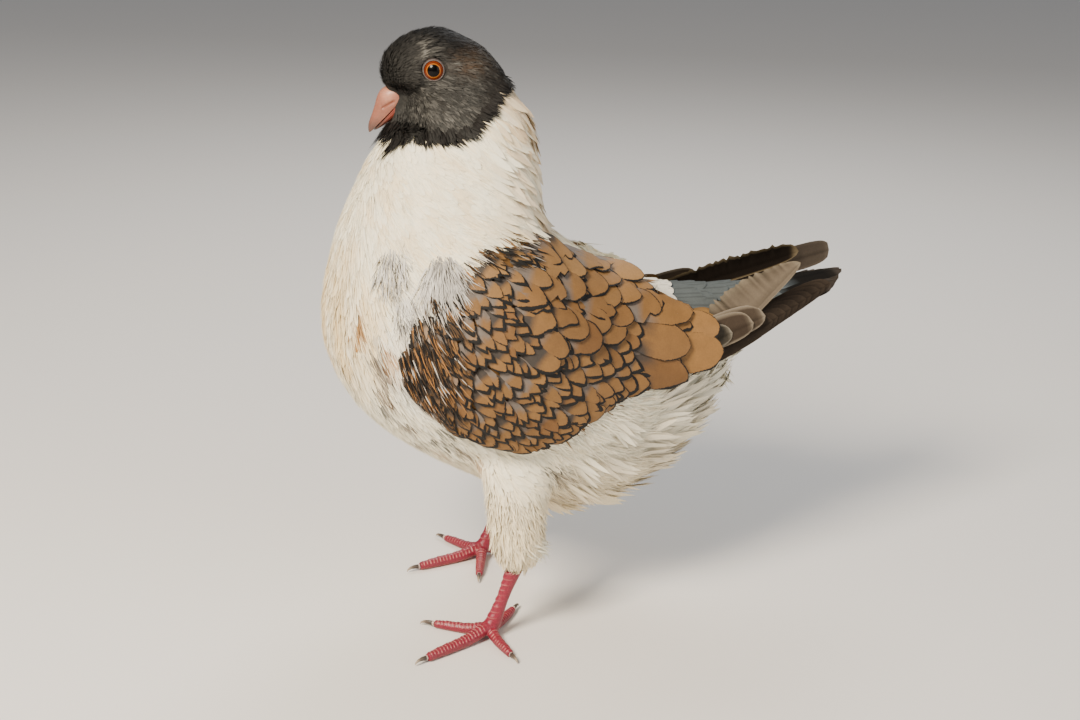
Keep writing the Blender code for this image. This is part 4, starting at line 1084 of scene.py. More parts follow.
def buildFeet():
    for word in ("left", "right"):
        look = footLook[word]
        piece, work, places, outs = finerCopy("foot" + word.capitalize(), ("foot_" + word,),
                                              footLook["voxel"])
        away = places[:, :2] - np.array(look["ground"])
        along = np.full(len(places), -1.0)
        nearest = np.full(len(places), 99.0)
        for heading, _ in look["toes"]:
            way = np.array((math.sin(math.radians(heading)), -math.cos(math.radians(heading))))
            reach = away @ way
            aside = np.abs(away[:, 0] * way[1] - away[:, 1] * way[0]) + 50.0 * (reach < 1.5)
            chosen = aside < nearest
            nearest = np.where(chosen, aside, nearest)
            along = np.where(chosen, reach, along)
        onToe = ramp(*footLook["toeFrom"], along) * ramp(*footLook["toeBelow"], places[:, 2])
        shank = ramp(*footLook["shankFrom"], places[:, 2])
        # a plate rises towards its far edge, which is pale
        phase = (along / footLook["plate"]) % 1.0
        top = ramp(0.05, 0.6, outs[:, 2]) * onToe
        level = (phase ** 2.0 - footLook["plateLevel"]) * top
        pale = ramp(0.74, 0.95, phase) * top
        shankPhase = (-places[:, 2] / footLook["shankPlate"]) % 1.0
        front = ramp(-0.1, 0.5, -outs[:, 1]) * shank
        level += footLook["shankRaise"] * (shankPhase ** 2.0 - footLook["plateLevel"]) * front
        pale = np.maximum(pale, 0.5 * ramp(0.8, 0.97, shankPhase) * front)
        under = ramp(-0.2, -0.7, outs[:, 2]) * (places[:, 2] > 0.25)
        grain = chance.normal(0.0, 1.0, len(places))
        tints = np.tile(paint(footLook["red"]), (len(places), 1))
        deep = np.clip(0.45 + 0.2 * grain, 0, 1) * (1.0 - 0.4 * shank)
        tints = mixTo(tints, paint(footLook["deepRed"]), deep)
        tints = mixTo(tints, paint(footLook["pale"]), np.clip(pale * (0.8 + 0.12 * grain), 0, 1))
        tints = mixTo(tints, paint(footLook["pad"]), 0.6 * under)
        raised = footLook["plateRaise"] * level * (places[:, 2] > 0.3)
        keepMoved(piece, work, places + outs * raised[:, None], tints)
        finishPiece(piece, bareFinish["scaledLegSkin"], ("foot_" + word,))

        names = ["claw_" + toe + "_" + word for toe in ("inner", "middle", "outer", "hind")]
        piece, work, places, outs = finerCopy("claws" + word.capitalize(), names, clawLook["voxel"])
        away = np.linalg.norm(places[:, :2] - np.array(look["ground"]), axis=1)
        bearings = np.degrees(turnAbout(places, look["ground"]))
        share = np.zeros(len(places))
        for heading, _ in look["toes"]:
            mine = np.abs((bearings - heading + 180.0) % 360.0 - 180.0) < 25.0
            if np.any(mine):
                share[mine] = (away[mine] - away[mine].min()) / (away[mine].max() - away[mine].min())
        tints = np.tile(paint(clawLook["root"]), (len(places), 1))
        tints = mixTo(tints, paint(clawLook["middle"]), ramp(0.15, 0.55, share))
        tints = mixTo(tints, paint(clawLook["tip"]), 0.85 * ramp(0.5, 0.95, share))
        tints = mixTo(tints, paint(clawLook["cuticle"]), ramp(0.16, 0.06, share))
        keepMoved(piece, work, places, tints)
        finishPiece(piece, bareFinish["clawHorn"], names)


buildEyes()
billPieces = [buildBill("billUpper", billLook["upper"], 1.0, "bill_upper"),
              buildBill("billLower", billLook["lower"], -1.0, "bill_lower")]
buildFeet()
print("eyes, bill and feet ready")


# contour feathers and fine strands, one tract after another

smallVane = {"shares": (0.0, 0.4, 0.8, 1.0), "widths": (0.6, 1.0, 0.62), "columns": 3, "thickness": 0.12,
             "cup": 0.10}
strand = {"shares": (0.0, 0.5, 1.0), "widths": (1.0, 0.8), "columns": 3, "thickness": 0.12, "cup": 0.0}


def layTract(name, tree, roots, headings, lengths, widths, lifts, look, tints, bakeSpots,
             finish="downyContour"):
    shape = look["shape"]
    shares = np.array(shape["shares"])
    places, ways = combOver(tree, roots, headings, lengths, shares)
    rise = look["sink"] + (lifts[:, None] - look["sink"]) * shares[None, :] ** look["curve"]
    places = places + ways * rise[:, :, None]
    halves = 0.5 * widths[:, None] * np.array(shape["widths"])[None, :]
    roll = chance.normal(0.0, look["roll"], len(roots))[:, None, None]
    along = unit(places[:, -1] - places[:, 0])[:, None, :]
    ways = unit(ways + np.cross(along, ways) * roll)
    piece = layVanes(name, places, ways, halves, shape, tints, noLace, bakeSpots, vaneBuild["bakeSize"])
    finishPiece(piece, featherFinish[finish])
    print(name, len(roots), "feathers", len(piece.data.polygons), "triangles")


def growTract(name, look, roots, bakeSpots, tints=None, finish="downyContour"):
    count = len(roots)
    found, outs, _ = nearestOn(skinTree, roots)
    headings = lie(roots, outs)
    side = np.cross(outs, headings)
    sway = chance.normal(0.0, look["sway"], count) + look["gather"] * clumps(roots, 3.2, 5.0)
    headings = unit(headings + side * sway[:, None])
    lengths = look["length"](roots) * chance.uniform(0.8, 1.2, count)
    widths = look["width"] * chance.uniform(0.8, 1.2, count)
    lifts = look["lift"](roots) * chance.uniform(0.7, 1.3, count)
    if tints is None:
        tints = markingsAndShade(roots, 1.0)
    layTract(name, skinTree, found, headings, lengths, widths, lifts, look, tints, bakeSpots, finish)


def constant(value):
    return lambda points: np.full(len(points), value)


def bodyLength(points):
    y, z = points[:, 1], points[:, 2]
    return 6.0 + 2.5 * ramp(170.0, 120.0, z) + 3.0 * ramp(-20.0, 30.0, y) * ramp(110.0, 80.0, z)


def neckLength(points):
    return 1.25 * bodyLength(points)


def bodyLift(height):
    # the coat lies flatter beside the wing
    return lambda points: height * (1.0 - 0.62 * inWing(points, -0.12))


def hoodLength(points):
    near = np.linalg.norm(points - headPoint(*coatFlow["bill"]), axis=1)
    return 1.6 + 1.7 * ramp(6.0, 22.0, near)


def hoodLift(points):
    behind, _ = headMeasures(points)
    forehead = blob(behind, points[:, 2], *headSpots["forehead"])
    return 0.6 + 0.8 * forehead + 0.35 * ramp(213.0, 219.0, points[:, 2]) * ramp(2.0, -4.0, behind)


def bootLength(points):
    return 6.5 - 1.5 * ramp(36.0, 29.0, points[:, 2])


# roots tried and their least gap; the feather's shape and size; how far headings stray one by one and in
# clumps; how high the tips stand, where the roots start, how the feather curves up between them and
# how far it rolls
tractTerms = ("wanted", "gap", "shape", "length", "width", "sway", "gather", "lift", "sink", "curve", "roll")
tractRows = {
    "hoodFeathers": (60000, 0.62, strand, hoodLength, 0.85, 0.12, 0.2, hoodLift, 0.0, 1.0, 0.15),
    "hoodFringe": (5000, 0.52, strand, constant(4.0), 0.75, 0.16, 0.45, constant(2.2), 0.4, 0.9, 0.2),
    "neckFeathers": (24000, 1.5, smallVane, neckLength, 3.0, 0.06, 0.18, constant(0.95), 0.5, 1.0, 0.04),
    "neckStrands": (40000, 0.8, strand, neckLength, 0.34, 0.08, 0.25, constant(1.3), 0.7, 1.0, 0.1),
    "napePlumes": (4000, 3.0, smallVane, constant(12.0), 2.8, 0.16, 0.0, constant(2.5), 0.6, 1.4, 0.25),
    "bodyFeathers": (30000, 1.9, smallVane, bodyLength, 3.2, 0.1, 0.0, bodyLift(1.3), 0.5, 1.0, 0.05),
    "bodyStrands": (45000, 1.12, strand, bodyLength, 0.48, 0.14, 0.0, bodyLift(1.8), 0.8, 1.0, 0.1),
    "ventDown": (9000, 1.5, strand, constant(12.0), 0.6, 0.22, 0.35, constant(3.4), 0.3, 1.3, 0.3),
    "bootFeathers": (14000, 0.72, strand, bootLength, 0.58, 0.26, 0.3, constant(2.2), 0.3, 1.1, 0.15),
    "ventTufts": (110, 7.0, smallVane, constant(15.0), 2.4, 0.14, 0.4, constant(5.5), 0.3, 1.2, 0.35),
    "bootTufts": (60, 3.6, smallVane, constant(8.5), 1.3, 0.14, 0.4, constant(2.4), 0.3, 1.2, 0.35),
}
tracts = {name: dict(zip(tractTerms, row)) for name, row in tractRows.items()}
# where one tract ends and the next begins, as heights over the floor, places along the bird and
# ways off the hood
tractEdges = {"neckFrom": 138.0, "feathersBelowHood": 1.2, "strandsBelowHood": 2.8, "fringe": (-0.9, 2.6),
              "eyeClear": 4.7, "billClear": 0.7, "napeBehind": -54.0, "nape": (156.0, 200.0),
              "ventBehind": -34.0, "ventTop": 92.0, "ventSlope": 0.35}


def rootsOf(name, keep):
    return scatter(tracts[name]["wanted"], tracts[name]["gap"], keep)


def onHood(points):
    return hoodShare(points) > 0.5


def awayFromEyes(points):
    clear = np.ones(len(points), dtype=bool)
    for word in ("left", "right"):
        middle, _ = nodeSpan("eye_" + word)
        clear &= np.linalg.norm(points - middle, axis=1) > tractEdges["eyeClear"]
    return clear


def awayFromBill(points):
    clear = np.ones(len(points), dtype=bool)
    for piece in billPieces:
        tree, _, _ = treeOf(piece.data)
        found, outs, gaps = nearestOn(tree, points)
        clear &= (gaps > tractEdges["billClear"]) & (np.sum((points - found) * outs, axis=1) > 0.0)
    return clear


def aroundSpots(roots, middle):
    return spreadPlaces(turnAbout(roots, middle), roots[:, 2])


def growHead():
    roots = rootsOf("hoodFeathers", lambda points: onHood(points).astype(float))
    roots = roots[awayFromEyes(roots) & awayFromBill(roots)]
    middle = headPoint(2.0, 200.0)
    growTract("hoodFeathers", tracts["hoodFeathers"], roots, aroundSpots(roots, middle), None, "hoodContour")

    def atEdge(points):
        away = overHoodEdge(points)
        return ((away > tractEdges["fringe"][0]) & (away < tractEdges["fringe"][1])).astype(float)

    roots = rootsOf("hoodFringe", atEdge)
    dark = mixTo(np.tile(paint(coatColours["soot"]), (len(roots), 1)), paint(coatColours["cheek"]),
                 np.clip(0.3 + 0.5 * clumps(roots, 3.0), 0, 0.8))
    growTract("hoodFringe", tracts["hoodFringe"], roots, aroundSpots(roots, middle), dark,
              "hoodContour")


# tufts under the bill: root and way of hanging, each as behind, height and out, then length and hairs

beardTufts = (
    ((-18.6, 186.5, 1.8), (-0.62, -0.79, 0.05), 10.5, 26),
    ((-17.6, 186.0, 4.5), (-0.55, -0.83, 0.1), 8.5, 20),
    ((-16.2, 185.5, 7.5), (-0.45, -0.89, 0.1), 8.0, 20),
    ((-14.4, 184.9, 10.5), (-0.33, -0.94, 0.1), 11.5, 26),
    ((-12.6, 184.8, 11.5), (-0.2, -0.98, 0.1), 8.0, 18),
    ((-10.2, 184.8, 12.5), (-0.1, -0.99, 0.05), 6.5, 16),
    ((-17.8, 186.2, -2.0), (-0.55, -0.83, -0.1), 9.0, 20),
    ((-15.8, 185.5, -6.5), (-0.4, -0.91, -0.1), 9.5, 20),
    ((-12.6, 185.0, -10.0), (-0.2, -0.98, -0.1), 7.0, 16),
)
beardLook = {"spread": 1.1, "tipSpread": 0.5, "widths": (0.4, 0.8), "lifts": (1.7, 2.8),
             "shape": strand, "sink": 0.6, "curve": 0.8, "roll": 0.2}


def growBeard():
    roots, headings, lengths = [], [], []
    for place, (back, up, aside), length, hairs in beardTufts:
        middle = headPoint(*place)
        tip = middle + length * (headPoint(back, up, aside) - headPoint(0.0, 0.0))
        for _ in range(hairs):
            root = middle + chance.normal(0.0, beardLook["spread"], 3) * np.array((1.0, 1.0, 0.6))
            way = tip + chance.normal(0.0, beardLook["tipSpread"], 3) - root
            roots.append(root)
            headings.append(way)
            lengths.append(np.linalg.norm(way) * chance.uniform(0.6, 1.05))
    roots, outs, _ = nearestOn(skinTree, np.array(roots))
    headings = tangent(unit(np.array(headings)), outs)
    count = len(roots)
    tints = np.tile(paint(coatColours["soot"]), (count, 1))
    layTract("chinBeard", skinTree, roots, headings, np.array(lengths),
             chance.uniform(*beardLook["widths"], count),
             chance.uniform(*beardLook["lifts"], count), beardLook,
             tints, spreadPlaces(roots[:, 0], roots[:, 2]), "hoodContour")


def growNeck():
    middle = np.array((0.0, -62.0, 150.0))
    for name, clear in (("neckFeathers", tractEdges["feathersBelowHood"]),
                        ("neckStrands", tractEdges["strandsBelowHood"])):

        def keep(points):
            onNeck = (points[:, 2] > tractEdges["neckFrom"]) & (inWing(points, 0.03) < 0.5)
            return (onNeck & ~onHood(points) & (overHoodEdge(points) < -clear)).astype(float)

        roots = rootsOf(name, keep)
        growTract(name, tracts[name], roots, aroundSpots(roots, middle))


def growNape():
    def keep(points):
        low, high = tractEdges["nape"]
        behind = (points[:, 1] > tractEdges["napeBehind"]) & (points[:, 2] > low) & (points[:, 2] < high)
        return (behind & ~onHood(points) & (inWing(points) < 0.5)).astype(float)

    roots = rootsOf("napePlumes", keep)
    warm = np.clip(chance.normal(0.1, 0.2, len(roots)), 0, 0.5)
    tints = mixTo(markingsAndShade(roots, 1.0), paint(coatColours["tan"]), warm)
    growTract("napePlumes", tracts["napePlumes"], roots, spreadPlaces(roots[:, 0], roots[:, 2]), tints)


def growBody():
    def keep(points):
        low = points[:, 2] <= tractEdges["neckFrom"]
        return (low & (inWing(points, 0.03) < 0.5) & (inBoot(points) < 0.5)).astype(float)

    middle = np.array((0.0, -30.0, 100.0))
    for name in ("bodyFeathers", "bodyStrands"):
        roots = rootsOf(name, keep)
        slope = np.arctan2(roots[:, 2] - middle[2], np.hypot(roots[:, 0], roots[:, 1] - middle[1]))
        growTract(name, tracts[name], roots, spreadPlaces(turnAbout(roots, middle), slope))


def growVent():
    # loose hair-like down under the tail and behind the legs
    def keep(points):
        top = tractEdges["ventTop"] + tractEdges["ventSlope"] * np.maximum(points[:, 1], 0.0)
        low = (points[:, 1] > tractEdges["ventBehind"]) & (points[:, 2] < top)
        return (low & (inWing(points) < 0.5) & (inBoot(points) < 0.3)).astype(float)

    roots = rootsOf("ventDown", keep)
    # painted warm shade: the down under the tail and behind the legs is tinted tan in clumps
    tints = mixTo(markingsAndShade(roots, 1.0), paint(coatColours["vent"]),
                  np.clip(0.3 + 0.4 * clumps(roots, 8.0), 0, 0.8))
    growTract("ventDown", tracts["ventDown"], roots, spreadPlaces(roots[:, 0], roots[:, 1]), tints)


# loose hairs at the back of each boot's lower end, measured from the thigh's middle

hockTuft = {"place": (6.0, 4.5, -10.5), "spread": 1.7, "way": (0.12, 0.75, -0.5), "stray": 0.16, "hairs": 46,
            "lengths": (6.5, 11.0), "widths": (0.45, 0.8), "lifts": (2.6, 4.6),
            "shape": strand, "sink": 0.3, "curve": 0.7, "roll": 0.2}


def growHock(word, side, middle):
    count = hockTuft["hairs"]
    mirror = np.array((side, 1.0, 1.0))
    places = middle + np.array(hockTuft["place"]) * mirror
    places = places + chance.normal(0.0, hockTuft["spread"], (count, 3))
    roots, outs, _ = nearestOn(skinTree, places)
    headings = np.array(hockTuft["way"]) * mirror + chance.normal(0.0, hockTuft["stray"], (count, 3))
    headings = tangent(headings, outs)
    tints = np.tile(paint(coatColours["cream"]), (count, 1)) * chance.uniform(0.8, 1.0, count)[:, None]
    layTract("hockHairs" + word.capitalize(), skinTree, roots, headings,
             chance.uniform(*hockTuft["lengths"], count), chance.uniform(*hockTuft["widths"], count),
             chance.uniform(*hockTuft["lifts"], count), hockTuft, tints,
             spreadPlaces(places[:, 1], places[:, 2]))


def growBoots():
    for word, side in (("left", 1.0), ("right", -1.0)):
        middle, _ = nodeSpan("thigh_" + word)

        def keep(points):
            return ((inBoot(points) > 0.4) & (points[:, 0] * side > 0.0)).astype(float)

        roots = rootsOf("bootFeathers", keep)
        growTract("bootFeathers" + word.capitalize(), tracts["bootFeathers"], roots,
                  aroundSpots(roots, middle))
        growHock(word, side, middle)


growHead()
growBeard()
growNeck()
growNape()
growBody()
growVent()
growBoots()


# the wing's coverts: tiles that grow from small and streaked in front to long and plain behind

covertVane = {"shares": (0.0, 0.16, 0.34, 0.52, 0.66, 0.78, 0.87, 0.945, 1.0), "columns": 7,
              "thickness": 0.3, "cup": 0.10, "rounded": (0.50, 0.74, 0.90, 0.99, 1.0, 0.92, 0.75, 0.48),
              "pointed": (0.50, 0.82, 0.98, 0.98, 0.86, 0.64, 0.42, 0.20), "wornShare": 0.3,
              "wornTo": (0.25, 0.8), "rise": (-1.3, 0.8), "lift": 0.3, "liftShare": 0.05, "farLift": 0.4}
# each group: stations back along the wing with the steps along and across it there, the part of the wing it
# covers, its lift, how far the lace reaches in and how pointed the tips are at those stations
covertGroups = {
    "lesser": {"stations": (-88.0, -66.0, -30.0, 0.0, 30.0), "along": (3.4, 4.8, 6.0, 8.0, 10.5),
               "across": (2.4, 3.4, 4.6, 6.4, 8.0), "from": -88.0, "to": 20.0, "shares": (0.0, 1.0),
               "lift": 0.0, "lace": (1.3, 2.1, 2.4, 2.1, 1.3), "pointed": (1.0, 0.8, 0.45, 0.3, 0.1),
               "slopeShift": 0.0},
    "scapular": {"stations": (-52.0, -30.0, 0.0), "along": (7.2, 9.6, 10.4), "across": (6.2, 8.6, 9.2),
                 "from": -50.0, "to": -7.0, "shares": (0.60, 1.0), "lift": 0.9, "lace": (1.6, 1.3, 1.1),
                 "pointed": (0.3, 0.15, 0.1), "slopeShift": -2.0},
    "greater": {"stations": (-6.0, 10.0, 26.0), "along": (11.0, 12.5, 13.5), "across": (8.6, 10.0, 10.5),
                "from": -5.0, "to": 20.0, "shares": (0.10, 0.96), "lift": 0.7, "lace": (1.7, 1.4, 1.0),
                "pointed": (0.1, 0.0, 0.0), "slopeShift": 0.0},
    # the big plain tiles over the wing's rear: root along the bird and up, length, width, fall in degrees
    "tertial": {"stations": (-6.0, 10.0, 26.0), "across": (9.0, 9.0, 9.0), "lift": 1.7,
                "lace": (1.2, 1.0, 0.9), "pointed": (0.0, 0.0, 0.0), "slopeShift": 0.0,
                "placed": ((-6.0, 104.5, 29.0, 13.5, 12.0), (-6.0, 117.0, 30.0, 14.5, 14.0),
                           (9.0, 106.0, 27.5, 15.0, 3.0), (8.5, 115.5, 28.0, 14.0, 4.0),
                           (-4.0, 125.5, 31.0, 12.5, 10.0))},
}
covertLook = {
    "overlap": 2.15, "fullness": 1.42, "jitter": 0.2, "shareJitter": 0.014, "rowOverlap": 0.9,
    "webShare": 0.5, "endShares": (0.0, 0.25, 0.6, 1.0), "endPlaces": (-10.0, 12.0, 30.0, 24.0),
    "endReach": 4.0,
    "lowClear": 0.8, "topClear": 0.4, "steepest": (-0.5, 1.0), "flattest": (-1.0, 0.85),
    "fallPlaces": (-88.0, -60.0, -25.0, 10.0, 40.0), "fall": (62.0, 46.0, 30.0, 12.0, -6.0), "stray": 0.13,
    "upper": (0.72, 0.95), "lengths": (0.88, 1.12), "widths": (0.78, 1.18), "tilt": 0.05,
    "golden": "8b6536", "sand": "9a784d", "sooty": "171412", "ashy": "968f86", "base": "6b6159",
    "bare": 0.38, "bareMore": (0.46, 0.6), "bareShare": 0.26, "bareTertial": 0.3, "bareAside": 0.1,
}
# the patch of loose down on the shoulder, which no covert covers
shoulderPatch = {"middle": (40.5, -74.0, 141.5), "reach": 7.0}


def onShoulder(places, side, reach):
    away = places * np.array((side, 1.0, 1.0)) - np.array(shoulderPatch["middle"])
    return np.linalg.norm(away, axis=1) < reach


def atStations(group, which, y):
    return np.interp(y, group["stations"], group[which])


def covertRoots(survey, group):
    roots, shareOf = [], []
    y = group["from"]
    number = 0
    lowShare, highShare = group["shares"]
    spread = np.linspace(lowShare, highShare, 40)
    while y < group["to"]:
        edge = wingPoint(survey, np.full(40, y), spread)
        spans = np.concatenate([[0.0], np.cumsum(np.linalg.norm(np.diff(edge, axis=0), axis=1))])
        count = max(2, int(round(spans[-1] / float(atStations(group, "across", y)))))
        for place in range(count + 1):
            distance = (place + 0.5 * (number % 2)) / count
            if distance > 1.0:
                continue
            share = float(np.interp(distance * spans[-1], spans, spread))
            end = float(np.interp(share, covertLook["endShares"], covertLook["endPlaces"]))
            length = covertLook["overlap"] * float(atStations(group, "along", y))
            if y + 0.8 * length < end + covertLook["endReach"]:
                roots.append(y)
                shareOf.append(share)
        y += float(atStations(group, "along", y)) * covertLook["rowOverlap"]
        number += 1
    return np.array(roots), np.array(shareOf)


def falling(slope):
    return np.stack([np.zeros(len(slope)), np.cos(slope), -np.sin(slope)], axis=1)


def withinBorder(places, lengths, slope, clear):
    # slopes that keep the tips above the wing's lower border and below its upper one
    ends = places[:, 1] + lengths * np.cos(slope)
    room = places[:, 2] - borderHeight("bottom", ends)
    slope = np.minimum(slope, np.arcsin(np.clip(room / lengths, *covertLook["steepest"])))
    over = places[:, 2] - borderHeight("top", ends) + clear
    return np.maximum(slope, np.arcsin(np.clip(over / lengths, *covertLook["flattest"])))


def shareAtHeight(survey, y, height):
    shares = np.linspace(0.0, 1.0, 60)
    return float(np.interp(height, wingPoint(survey, np.full(60, y), shares)[:, 2], shares))


def layCoverts(survey, tree, side, group):
    placed = "placed" in group
    if placed:
        roots, heights, along = (np.array(share) for share in list(zip(*group["placed"]))[:3])
        shareOf = np.array([shareAtHeight(survey, y, height) for y, height in zip(roots, heights)])
    else:
        roots, shareOf = covertRoots(survey, group)
        along = atStations(group, "along", roots)
        roots = roots + chance.normal(0.0, covertLook["jitter"], len(roots)) * along
        shareOf = shareOf + chance.normal(0.0, covertLook["shareJitter"], len(roots))
        shareOf = np.clip(shareOf, 0.0, 1.0)
    places = wingPoint(survey, np.clip(roots, wingSurvey["front"], wingSurvey["rear"]), shareOf)
    reach = covertLook["webShare"] * atStations(group, "across", roots)
    inside = places[:, 2] < borderHeight("top", roots) - survey["drop"] - reach
    inside &= places[:, 2] > borderHeight("bottom", roots) + covertLook["lowClear"]
    inside &= ~onShoulder(places, side, shoulderPatch["reach"])
    inside |= placed
    roots, shareOf, along, places = roots[inside], shareOf[inside], along[inside], places[inside]
    count = len(roots)
    upper = ramp(*covertLook["upper"], shareOf)
    slope = np.interp(roots, covertLook["fallPlaces"], covertLook["fall"]) + group["slopeShift"]
    slope = np.radians(slope) * (1.0 - 0.25 * upper) + chance.normal(0.0, covertLook["stray"], count)
    lengths = along * covertLook["overlap"] * chance.uniform(*covertLook["lengths"], count)
    widths = atStations(group, "across", roots) * covertLook["fullness"]
    widths = widths * chance.uniform(*covertLook["widths"], count)
    if placed:
        # these keep the measures of their own row
        _, _, lengths, widths, slope = (np.array(share) for share in zip(*group["placed"]))
        slope = np.radians(slope)
    else:
        slope = withinBorder(places, lengths, slope, survey["drop"] + covertLook["topClear"] * widths)
    shares = np.array(covertVane["shares"])
    walked, ways = combOver(tree, places, falling(slope), lengths, shares)
    lift = covertVane["lift"] + covertVane["liftShare"] * lengths
    lift = lift + group["lift"] * (1.0 if side > 0 else covertVane["farLift"])
    start, curve = covertVane["rise"]
    rise = start + (lift[:, None] - start) * shares[None, :] ** curve
    walked = walked + ways * rise[:, :, None]
    tilt = chance.normal(0.0, covertLook["tilt"], count)[:, None, None]
    shaft = unit(walked[:, -1] - walked[:, 0])[:, None, :]
    ways = unit(ways + np.cross(shaft, ways) * tilt)

    pointed = np.clip(atStations(group, "pointed", roots) + chance.normal(0.0, 0.15, count), 0, 1)[:, None]
    outline = (1.0 - pointed) * np.array(covertVane["rounded"]) + pointed * np.array(covertVane["pointed"])
    outline = outline * chance.uniform(0.95, 1.05, outline.shape)
    halves = np.repeat((0.5 * widths[:, None] * outline)[:, :, None], 2, axis=2)
    # worn tips: one web breaks off short of the end
    worn = chance.random(count) < covertVane["wornShare"]
    web = chance.integers(0, 2, count)
    for number in np.where(worn)[0]:
        halves[number, -3:, web[number]] *= chance.uniform(*covertVane["wornTo"], 3)

    warm = clumps(places, 16.0, 3.0)
    body = np.tile(paint(coatColours["bronze"]), (count, 1))
    for colour, share in (
            (coatColours["bronzeDeep"], np.clip(chance.normal(0.15, 0.25, count) + 0.3 * warm, 0, 1)),
            (covertLook["golden"], ramp(-30.0, 10.0, roots) * chance.uniform(0.2, 0.8, count)),
            (covertLook["sand"], 0.55 * upper * chance.uniform(0.4, 1.2, count))):
        body = mixTo(body, paint(colour), share)
    # the foremost tiles are dark or ashy
    fringe = ramp(-75.0, -85.0, roots + 3.0 * chance.normal(0.0, 1.0, count))
    dark = chance.random(count)[:, None] < 0.75
    body = body + (np.where(dark, paint(covertLook["sooty"]), paint(covertLook["ashy"])) - body) * (
        0.8 * fringe)[:, None]
    body = body * chance.uniform(0.9, 1.08, count)[:, None]
    base = mixTo(np.tile(paint(covertLook["base"]), (count, 1)), paint(coatColours["nape"]),
                 (chance.random(count) < 0.4).astype(float) * 0.8)
    # each tile is grey at its base, further out along its sides
    columns = vaneTemplate(len(covertVane["rounded"]), covertVane["columns"])["columns"]
    alongShare = np.append(np.repeat(shares[:-1], len(columns)), 1.0)
    aside = np.append(np.tile(np.abs(columns), len(shares) - 1), 0.0)
    bare = np.where(chance.random(count) < covertLook["bareShare"],
                    chance.uniform(*covertLook["bareMore"], count), covertLook["bare"])
    bare = np.minimum(bare, covertLook["bareTertial"]) if placed else bare
    grown = ramp(-0.06, 0.06, alongShare[None, :] - bare[:, None] - covertLook["bareAside"] * aside[None, :])
    tints = base[:, None, :] + (body - base)[:, None, :] * grown[:, :, None]

    strength = atStations(group, "lace", roots) * chance.uniform(0.55, 1.25, count)
    strength = strength * np.where(chance.random(count) < 0.08, 0.3, 1.0)
    lowerSide = side * chance.choice((1.0, 1.0, 1.0, 0.2), count)

    def laceAt(acrossMm, alongShare, widest):
        # the lace starts past the tile's middle and is widest on its lower side
        near = ramp(0.45, 0.88, alongShare)[None, :]
        sideways = 0.64 + 0.56 * np.clip(lowerSide[:, None] * acrossMm / widest[:, None], -1.0, 1.0)
        return strength[:, None] * near * sideways

    return walked, ways, halves, tints, laceAt, spreadPlaces(roots, shareOf, 0.04)


def growCoverts(word, side):
    survey = surveys[word]
    tree = wingTree(survey)
    for groupName, group in covertGroups.items():
        walked, ways, halves, tints, laceAt, spots = layCoverts(survey, tree, side, group)
        piece = layVanes(groupName + "Coverts" + word.capitalize(), walked, ways, halves, covertVane, tints,
                         laceAt, spots, 0.012)
        finishPiece(piece, featherFinish["lacedCovert"])
        print(piece.name, len(walked), "feathers", len(piece.data.polygons), "triangles")


# sooty, brown, bronze and pale streaks down the wing's front, and a few along its upper border

streakLook = {"colours": ("12100e", "4a3724", "8c6236", "b8b0a6"), "shares": (0.52, 0.22, 0.18, 0.08),
              "count": 620, "from": -89.0, "reach": 20.0, "frontward": 1.5, "frontShares": (0.02, 0.98),
              "upperCount": 110, "upperPlaces": (-68.0, -36.0), "upperShares": (0.86, 1.0),
              "topClear": 0.3, "lowClear": 2.0, "lengths": (4.5, 8.0), "fallPlaces": (-90.0, -70.0, -40.0),
              "fall": (72.0, 52.0, 24.0), "upperFall": 10.0, "stray": 0.12, "width": 0.5,
              "widths": (0.6, 1.3), "lifts": (0.9, 1.7), "whiteReach": 13.0, "whiteShare": 0.3,
              "shape": strand, "sink": 0.5, "curve": 0.9, "roll": 0.15}


def growStreaks(word, side):
    survey = surveys[word]
    front = chance.random(streakLook["count"]) ** streakLook["frontward"]
    y = np.concatenate([streakLook["from"] + streakLook["reach"] * front,
                        chance.uniform(*streakLook["upperPlaces"], streakLook["upperCount"])])
    share = np.concatenate([chance.uniform(*streakLook["frontShares"], streakLook["count"]),
                            chance.uniform(*streakLook["upperShares"], streakLook["upperCount"])])
    roots = wingPoint(survey, y, share)
    inside = roots[:, 2] < borderHeight("top", y) - survey["drop"] - streakLook["topClear"]
    inside &= roots[:, 2] > borderHeight("bottom", y) + streakLook["lowClear"]
    inside &= ~onShoulder(roots, side, shoulderPatch["reach"] - 1.0)
    roots, y, share = roots[inside], y[inside], share[inside]
    count = len(roots)
    lengths = chance.uniform(*streakLook["lengths"], count)
    slope = np.interp(y, streakLook["fallPlaces"], streakLook["fall"])
    slope = np.radians(slope - streakLook["upperFall"] * ramp(0.85, 0.95, share))
    slope = slope + chance.normal(0.0, streakLook["stray"], count)
    slope = withinBorder(roots, lengths, slope, survey["drop"] + 0.4)
    # the colours keep together in lumps along the streaks
    pick = 0.5 + 0.5 * clumps(roots * np.array((1.0, 2.2, 0.8)), 1.8, 2.0) + chance.normal(0.0, 0.16, count)
    near = onShoulder(roots, side, streakLook["whiteReach"])
    near &= chance.random(count) < streakLook["whiteShare"]
    pick = np.clip(np.where(near, 0.99, pick), 0.0, 0.99)
    chosen = np.minimum(np.searchsorted(np.cumsum(streakLook["shares"]), pick), 3)
    tints = np.array([paint(colour) for colour in streakLook["colours"]])[chosen]
    layTract("wingStreaks" + word.capitalize(), wingTree(survey), roots, falling(slope), lengths,
             streakLook["width"] * chance.uniform(*streakLook["widths"], count),
             chance.uniform(*streakLook["lifts"], count), streakLook, tints, spreadPlaces(y, share))
